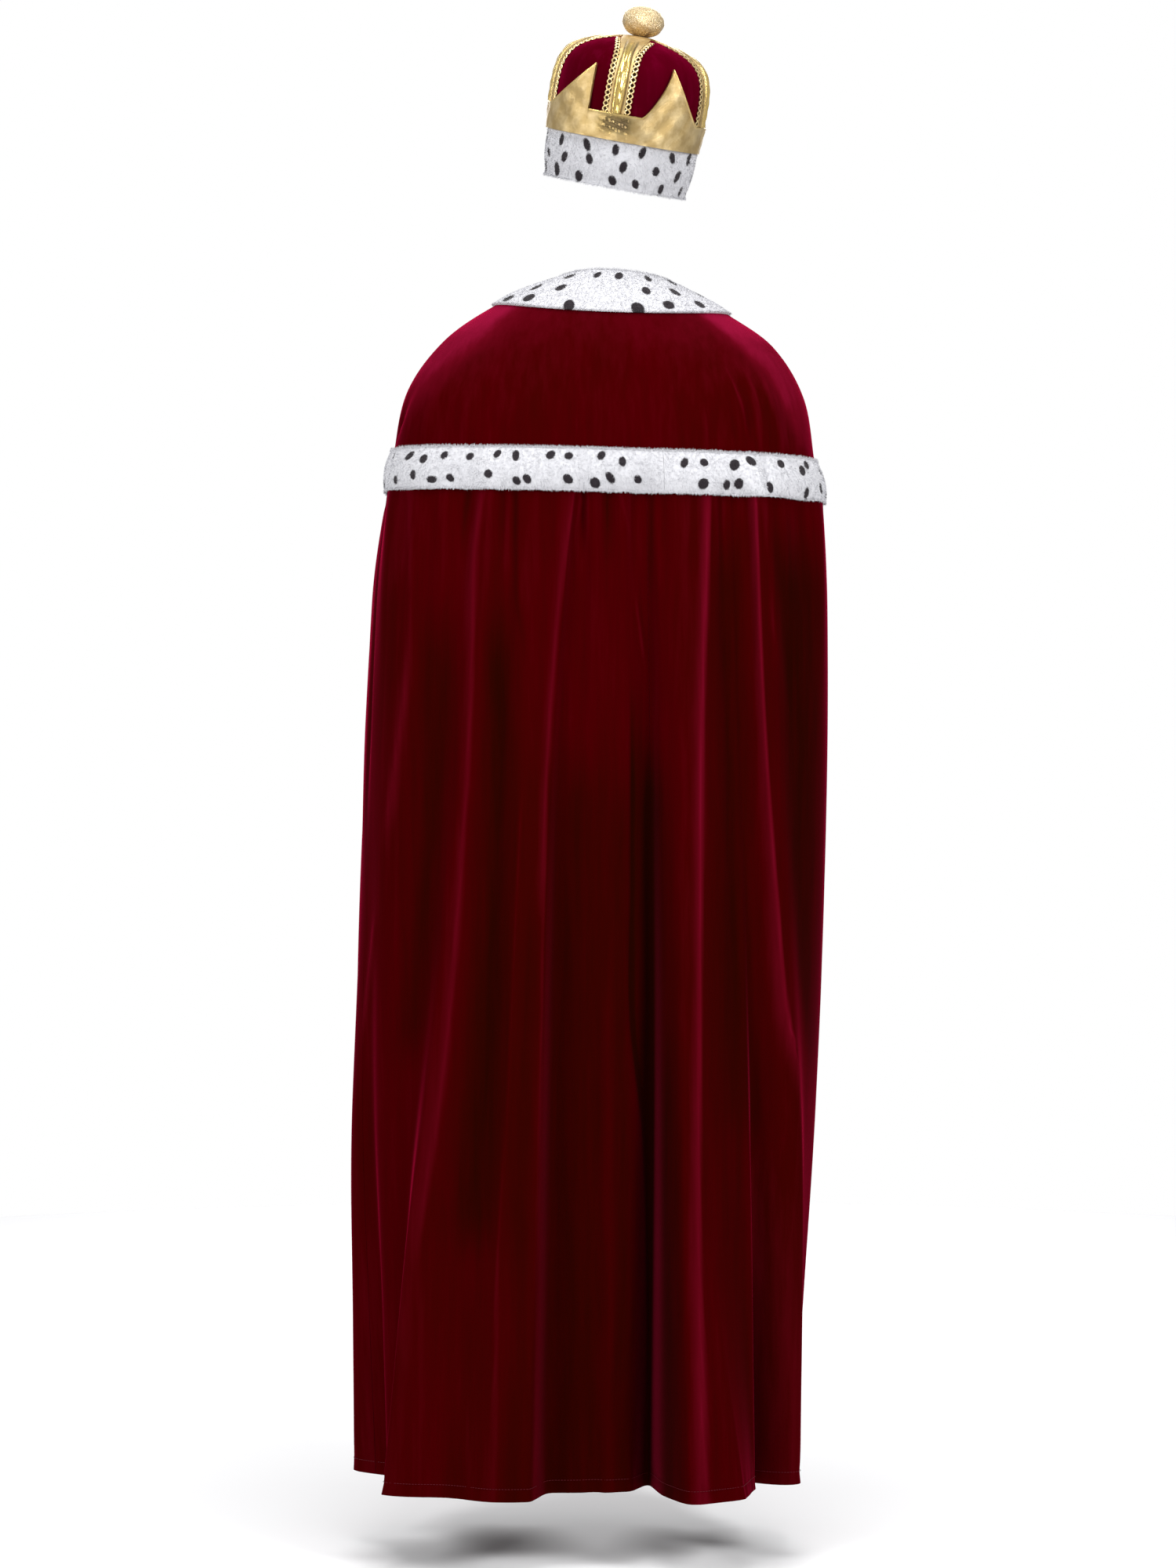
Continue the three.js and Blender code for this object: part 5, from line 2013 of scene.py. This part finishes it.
class Crown:
    """The crown hat: plush brim, gold band with points, velvet quarters, arches with braid, and ball."""

    # Painted shade on the gold band: degrees, how wide and how much
    PAINTED_BAND_SHADE = (
        (9.0, 13.0, 0.32),
        (-20.0, 8.0, 0.12),
        (64.0, 16.0, 0.2),
        (131.0, 20.0, 0.25),
        (-150.0, 18.0, 0.25),
        (-96.0, 16.0, 0.22),
    )

    def __init__(self, form: CrownForm, materials: Materials) -> None:
        """Takes the crown's shape and the finishes."""
        self.form = form
        self.materials = materials

    def shell(
        self,
        name: str,
        outer: np.ndarray,
        inner: np.ndarray,
        material: bpy.types.Material,
        **more: object,
    ) -> bpy.types.Object:
        """A closed wall between two grids in the crown's own frame, as one piece.

        Args:
            name: the name of the piece.
            outer: rows, columns and 3 coordinates.
            inner: the same for the inner side.
            material: its finish.
            more: what add_shell takes besides.

        Returns:
            The piece.
        """
        parts = MeshParts()
        parts.add_shell(self.form.worn(outer), self.form.worn(inner), **more)
        return parts.build(name, [material])

    def brim(self) -> bpy.types.Object:
        """The plush brim: a padded ring, wider at its top, with its pile in a piece of its own.

        Its bulge is a parabola up the brim, with a few slow waves round it.

        Returns:
            The piece.
        """
        form = self.form
        degrees = np.linspace(0, 360, 300, endpoint=False)[None]
        share = (0.5 - 0.5 * np.cos(np.linspace(0, np.pi, 27)))[:, None]
        radius = form.brim_foot + (form.brim_top - form.brim_foot) * share - form.brim_thickness / 2
        half = form.brim_thickness / 2 + form.brim_bulge * (4 * share * (1 - share) - 1)
        turn = np.radians(degrees)
        drop = 1.6 * smooth_step(share * (1 - share), 0, 0.12)
        soft = 0.5 * np.sin(5 * turn + 1) * share + 0.35 * np.sin(9 * turn) * (1 - share)
        outer = form.oval(radius + half - drop + soft, turn, form.brim_height * share)
        inner = form.oval(radius - half, turn, form.brim_height * share)
        along = np.radians((degrees + 180) % 360) * form.brim_tails
        along, up = np.broadcast_arrays(along, form.brim_height * share)
        tails = Tails(36, 3, 41.0, (11.0, 17.5), (8.5, 12.5), jitter=0.2, left_out=0.0)
        tail = tails.depth(along, up, 2 * np.pi * form.brim_tails, form.brim_height)
        piece = self.shell("crown_brim_plush", outer, inner, self.materials.plush, closed=True, tail=tail)
        place(piece, "crown_brim", slot="ermine")
        worn = form.worn(outer)
        normals = grid_normals(worn, worn - form.worn(inner), closed=True)
        fringe = Pile(33, density=240.0, length=4.0, width=0.6, lean=1.0)
        coat(piece, (worn, normals, tail), [(Pile(32), ALL_ROWS, DOWN), (fringe, slice(4), DOWN)], True)
        return piece

    def quarters(self) -> None:
        """The velvet quarters of the drum, each a little full between two arches, by half a wave of sine."""
        form = self.form
        for k, arch in enumerate(form.arches):
            after = form.arches[(k + 1) % len(form.arches)]
            sweep = (after.at - arch.at + 720) % 360
            share = np.linspace(0, 1, 52)[None]
            upright, curved = np.linspace(form.drum_foot, 160, 34), np.linspace(162, form.drum_top, 18)
            height = np.concatenate([upright, curved])[:, None]
            margin = np.degrees(GAP / 2 / (form.radius(height) - CLOTH))
            degrees = arch.at + margin + (sweep - 2 * margin) * share
            full = smooth_step(height, 92, 120) * smooth_step(height, form.drum_top, form.arch_bend)
            outer = form.drum(degrees, height, form.quarter_full * full * np.sin(np.pi * share) ** 0.8)
            inner = form.drum(degrees, height, -CLOTH)
            name = f"crown_quarter_{arch.name}_{after.name}"
            piece = self.shell(name, outer, inner, self.materials.crown_velvet)
            place(piece, f"crown_panel_{arch.name}_{after.name}", slot="velvet")

    def band(self) -> bpy.types.Object:
        """The gold band with its points: wrinkled cloth with a bright turned edge along its top.

        The wrinkles are crossed waves of turn and height. Finer ones crumple a patch beside the back arch,
        which has a painted dark reflection. Broad painted shade lies round the band.

        Returns:
            The piece.
        """
        form = self.form
        even = np.linspace(-180, 180, 420, endpoint=False)
        marks = np.array([v for p in form.points for v in (p.start, p.tip, max(p.end, p.tip))])
        degrees = np.unique(np.concatenate([even, marks]))[None]
        top = form.edge(degrees)
        share = np.concatenate([np.linspace(0, 0.93, 27), [0.945, 0.96, 0.97, 0.98, 0.99, 1.0]])[:, None]
        height = form.drum_foot + (top - form.drum_foot) * share
        stand = form.band_flare * (1 + np.clip((height - form.valley) / 40, 0, 1))
        edge = smooth_step(height, top - 2.6, top - 1.4)
        turn = np.radians(degrees)
        wrinkle = 0.8 * np.sin(11 * turn + height / 17) * np.sin(height / 9 + 3 * turn)
        wrinkle = wrinkle + 0.45 * np.sin(23 * turn - height / 6 + 1)
        aside = (degrees - form.arches[0].at - 1.5) / 12
        patch = np.exp(-(aside**4)) * np.exp(-(((height - 75) / 11) ** 4))
        crumple = np.sin(50 * turn + height / 2.1) * np.sin(31 * turn - height / 2.9 + 2)
        wrinkle = (wrinkle + 1.1 * patch * crumple) * np.sin(np.pi * share) ** 0.5
        lift = form.band_lift + stand * share
        outer = form.drum(degrees, height, lift + form.band_thickness + 0.5 + 0.8 * edge + wrinkle)
        inner = form.drum(degrees, height, lift)
        foil = np.clip(0.4 * edge + 0.6 * patch, 0, 1)
        # Painted shade in broad bands round it, and a painted dark reflection on the crumpled patch
        painted_band_shade = sum(dark * np.exp(-(((degrees - at) / wide) ** 2)) for at, wide, dark in self.PAINTED_BAND_SHADE)
        shade = np.clip(0.85 * patch + painted_band_shade, 0, 1)
        values = {"foil": foil, "shade": shade}
        piece = self.shell("crown_band_gold", outer, inner, self.materials.lame, closed=True, **values)
        return place(piece, "crown_points", slot="lame")

    def arch_pieces(self) -> None:
        """The four arches: a gold strip with a padded foil roll along its middle, pointed at its top.

        Across it the roll is half an oval less a bell-shaped groove, with painted dark reflections along
        both outlines and beside the groove.
        """
        form = self.form
        heights = form.arch_heights(84)[:, None]
        share = np.linspace(-1, 1, 35)[None]
        for arch in form.arches:
            degrees = arch.at + share * form.sweep(heights, form.arch_half(heights))
            full = np.clip((form.roll_end - heights) / form.roll_fade, 0, 1)
            width = 0.35 + 0.4 * np.sin(np.pi * np.clip((heights - 70) / 105, 0, 1)) ** 0.8
            across = np.clip(np.abs(share) / width, 0, 1)
            swell = np.sqrt(1 - across**2)
            groove = form.arch_groove * np.exp(-((share / (0.42 * width)) ** 2))
            roll = (form.arch_roll - form.arch_edge) * full * swell * (1 - groove)
            ripple = 0.25 * np.sin(heights / 2.3 + 4 * share) * swell * full
            outer = form.drum(degrees, heights, GAP + form.arch_edge + roll + ripple)
            inner = form.drum(degrees, heights, GAP)
            yellow = np.exp(-((share / (0.5 * width)) ** 2))
            foil = smooth_step(swell * full, 0.15, 0.5) * (0.45 + 0.55 * yellow)
            # Painted dark reflections along the roll's outlines and beside its groove
            outline = np.exp(-(((np.abs(share) - width) / 0.1) ** 2))
            crest = np.exp(-(((np.abs(share) - 0.42 * width) / 0.08) ** 2))
            shade = (0.8 * outline + 0.4 * crest) * smooth_step(full, 0.05, 0.5)
            values = {"foil": foil, "shade": shade}
            name = f"crown_arch_{arch.name}_gold"
            piece = self.shell(name, outer, inner, self.materials.lame, **values)
            place(piece, f"crown_arch_{arch.name}", slot="lame")

    def cord(
        self, path: np.ndarray, out: np.ndarray, radius: float, sides: int = 5
    ) -> tuple[np.ndarray, np.ndarray]:
        """A thin round cord along a path.

        Each ring is a circle square to the path, turned by the direction out of the surface, and the two
        ends are drawn to a point.

        Args:
            path: points along the cord.
            out: a direction out of the surface at each.
            radius: radius of the cord.
            sides: corners of its section.

        Returns:
            Points and four-cornered faces of the cord.
        """
        along = unit(np.gradient(path, axis=0))
        aside = unit(np.cross(along, out))
        up = np.cross(aside, along)
        size = np.full(len(path), radius)
        size[[0, -1]] = 1e-3
        turn = (2 * np.pi * np.arange(sides) / sides)[None, :, None]
        ring = np.cos(turn) * aside[:, None] + np.sin(turn) * up[:, None]
        rings = path[:, None] + size[:, None, None] * ring
        quads = grid_faces(len(path), sides, True)
        if signed_volume(rings.reshape(-1, 3), quads) < 0:
            quads = quads[:, ::-1]
        return rings.reshape(-1, 3), quads

    def braid_pieces(self) -> None:
        """Scroll braid along both edges of each arch: two cords on a narrow strip painted dark as the shadow
        in the eyelets.

        Each cord swings out and back by half waves of sine, one to each side, so that they leave eyelets.
        """
        form = self.form
        fine = form.arch_heights(900)
        fine = fine[fine <= form.braid_top]
        length = np.concatenate([[0], np.cumsum(np.hypot(np.diff(fine), np.diff(form.radius(fine))))])
        steps = np.linspace(0, length[-1], int(length[-1] / form.braid_period * 14))
        heights = np.interp(steps, length, fine)
        wave = 2 * np.pi * steps / form.braid_period
        rows = np.interp(np.linspace(0, length[-1], 60), length, fine)[:, None]
        for arch in form.arches:
            for sign, hand in ((-1, "a"), (1, "b")):

                def at(away: np.ndarray, height: np.ndarray, lift: np.ndarray | float) -> np.ndarray:
                    """Point of the braid at a distance from the arch's middle."""
                    return form.worn(form.drum(arch.at + sign * form.sweep(height, away), height, lift))

                parts = MeshParts()
                share = np.linspace(*form.braid_backing, 7)[None]
                away = form.arch_half(rows) + GAP + form.braid_width * share
                outer = at(away, rows, GAP + 0.6)
                inner = at(away, rows, GAP)
                # The strip is painted dark brown all over, as the shadow seen through the eyelets
                parts.add_shell(outer, inner, shade=np.ones(outer.shape[:2]))
                centre = form.arch_half(heights) + GAP + form.braid_width / 2
                ring = np.abs(np.sin(wave / 2))
                for toward in (-1, 1):
                    swing = centre + toward * (0.4 + form.braid_swing * ring)
                    rise = GAP + 1.5 + 0.35 * np.cos(wave)
                    path = at(swing, heights, rise)
                    out = unit(at(swing, heights, rise + 1) - path)
                    parts.add(*self.cord(path, out, form.braid_cord), shade=np.zeros(1))
                piece = parts.build(f"crown_braid_{arch.name}_{hand}_gold", [self.materials.braid])
                place(piece, f"crown_braid_{arch.name}_{hand}", slot="braid")

    def ball(self) -> bpy.types.Object:
        """The stuffed ball: a flattened sphere with slight dents, gathered in pleats of sine at its foot.

        Returns:
            The piece.
        """
        form = self.form
        turn = np.linspace(0, 2 * np.pi, 128, endpoint=False)[None]
        tilt = np.linspace(0.0, np.pi, 66)[1:-1, None]
        low = smooth_step(tilt, 1.9, 2.7)
        pleat = 1 + 0.035 * low * (np.sin(17 * turn) + 0.6 * np.sin(29 * turn + 1))
        dent = 1 + 0.008 * np.sin(3 * turn + 2 * tilt) * np.sin(2 * tilt)
        crumple = 0.006 * np.sin(7 * turn - 9 * tilt) + 0.004 * np.sin(13 * turn + 11 * tilt)
        dent = dent + crumple * np.sin(tilt) ** 2
        reach = form.ball_radius * np.sin(tilt) * pleat * dent
        height = form.ball_height + form.ball_half_height * np.cos(tilt) * dent
        spots = [reach * np.cos(turn), reach * np.sin(turn), height]
        rings = np.stack(np.broadcast_arrays(*spots), -1)
        rows, columns = rings.shape[:2]
        poles = [[0, 0, form.ball_height + half] for half in (form.ball_half_height, -form.ball_half_height)]
        points = form.worn(np.concatenate([rings.reshape(-1, 3), poles]))
        quads = grid_faces(rows, columns, True)
        spans = np.arange(columns)
        after = (spans + 1) % columns
        foot = (rows - 1) * columns
        top_cap = np.stack([np.full(columns, rows * columns), spans, after], -1)
        foot_cap = np.stack([np.full(columns, rows * columns + 1), foot + after, foot + spans], -1)
        if signed_volume(points, quads) < 0:
            quads, top_cap, foot_cap = quads[:, ::-1], top_cap[:, ::-1], foot_cap[:, ::-1]
        parts = MeshParts()
        parts.add(points, quads)
        parts.faces += [top_cap, foot_cap]
        parts.finish += [np.zeros(columns), np.zeros(columns)]
        piece = parts.build("crown_ball_gold", [self.materials.glitter], sharp=180.0)
        place(piece, "crown_ball", slot="lame")
        return piece

    def build(self) -> None:
        """Makes every piece of the crown."""
        self.brim()
        self.quarters()
        self.band()
        self.arch_pieces()
        self.braid_pieces()
        self.ball()


@dataclass(frozen=True)
class Lamp:
    """A soft square light: where it hangs, what it is aimed at, its power in watts and its width."""

    name: str
    at: tuple[float, float, float]
    aim: tuple[float, float, float]
    power: float
    size: float


@dataclass
class Studio:
    """Pale floor, pale surroundings, soft lights and the camera."""

    floor: float = -1.54
    floor_radius: float = 3.2
    camera_at: tuple[float, float, float] = (0.0189, 4.5, -0.54)
    lens: float = 85.6
    shift: float = -0.0425
    surround: float = 0.42
    backdrop: float = 1.0
    lamps: tuple[Lamp, ...] = (
        Lamp("Key", (-2.6, 2.6, 1.5), (0, 0, -0.5), 105, 1.2),
        Lamp("Fill", (2.6, 2.6, 1.2), (0, 0, -0.6), 80, 1.4),
        Lamp("Top", (0, 0.9, 2.3), (0, 0, -0.3), 50, 1.4),
        Lamp("Back", (0, -3.2, 1.4), (0, 0, -0.6), 90, 2.0),
    )

    def build(self) -> None:
        """Makes the floor, the surroundings, the lights and the camera."""
        scene = bpy.context.scene
        parts = MeshParts()
        turn = 2 * np.pi * np.arange(96) / 96
        rim = [self.floor_radius * np.cos(turn), self.floor_radius * np.sin(turn), np.full(96, self.floor)]
        parts.add(np.stack(rim, -1) / MM, np.arange(96)[None])
        pale = PlainFinish("Pale floor", (0.86, 0.86, 0.87), 0.8)
        parts.build("studio_floor", [pale.material()])
        world = bpy.data.worlds.new("Pale studio")
        scene.world = world
        world.use_nodes = True
        shade = world.node_tree.nodes["Background"]
        seen = node(world.node_tree, "ShaderNodeLightPath").outputs["Is Camera Ray"]
        strength = ranged(world.node_tree, seen, onto=(self.surround, self.backdrop))
        dress(world.node_tree, shade, Color=(1, 1, 1), Strength=strength)
        for lamp in self.lamps:
            light = bpy.data.lights.new(lamp.name, "AREA")
            light.shape = "SQUARE"
            light.size = lamp.size
            light.energy = lamp.power
            made = bpy.data.objects.new(lamp.name, light)
            made.location = lamp.at
            made.rotation_mode = "QUATERNION"
            away = np.array(lamp.at) - np.array(lamp.aim)
            made.rotation_quaternion = self.facing(away)
            scene.collection.objects.link(made)
        lens = bpy.data.cameras.new("Camera")
        lens.lens = self.lens
        lens.sensor_width = 36
        lens.shift_y = self.shift
        camera = bpy.data.objects.new("Camera", lens)
        camera.location = self.camera_at
        camera.rotation_euler = (np.pi / 2, 0, np.pi)
        scene.collection.objects.link(camera)
        scene.camera = camera
        scene.view_settings.view_transform = "Standard"

    @staticmethod
    def facing(away: np.ndarray) -> tuple[float, float, float, float]:
        """The shortest turn that points a light's own +Z along a direction, as a quaternion.

        Args:
            away: the direction.

        Returns:
            The quaternion, w first.
        """
        x, y, z = away / np.linalg.norm(away)
        turn = np.array([1 + z, -y, x, 0.0])
        return tuple(turn / np.linalg.norm(turn))


def main() -> None:
    """Builds the costume, piece by piece, and the studio round it."""
    logging.basicConfig(level=logging.INFO, format="%(message)s")
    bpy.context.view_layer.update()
    materials = Materials.build()
    form = RobeForm()
    Robe(form, materials).build()
    Ermine(form, materials).build()
    Crown(CrownForm(), materials).build()
    Studio().build()


if __name__ == "__main__":
    main()
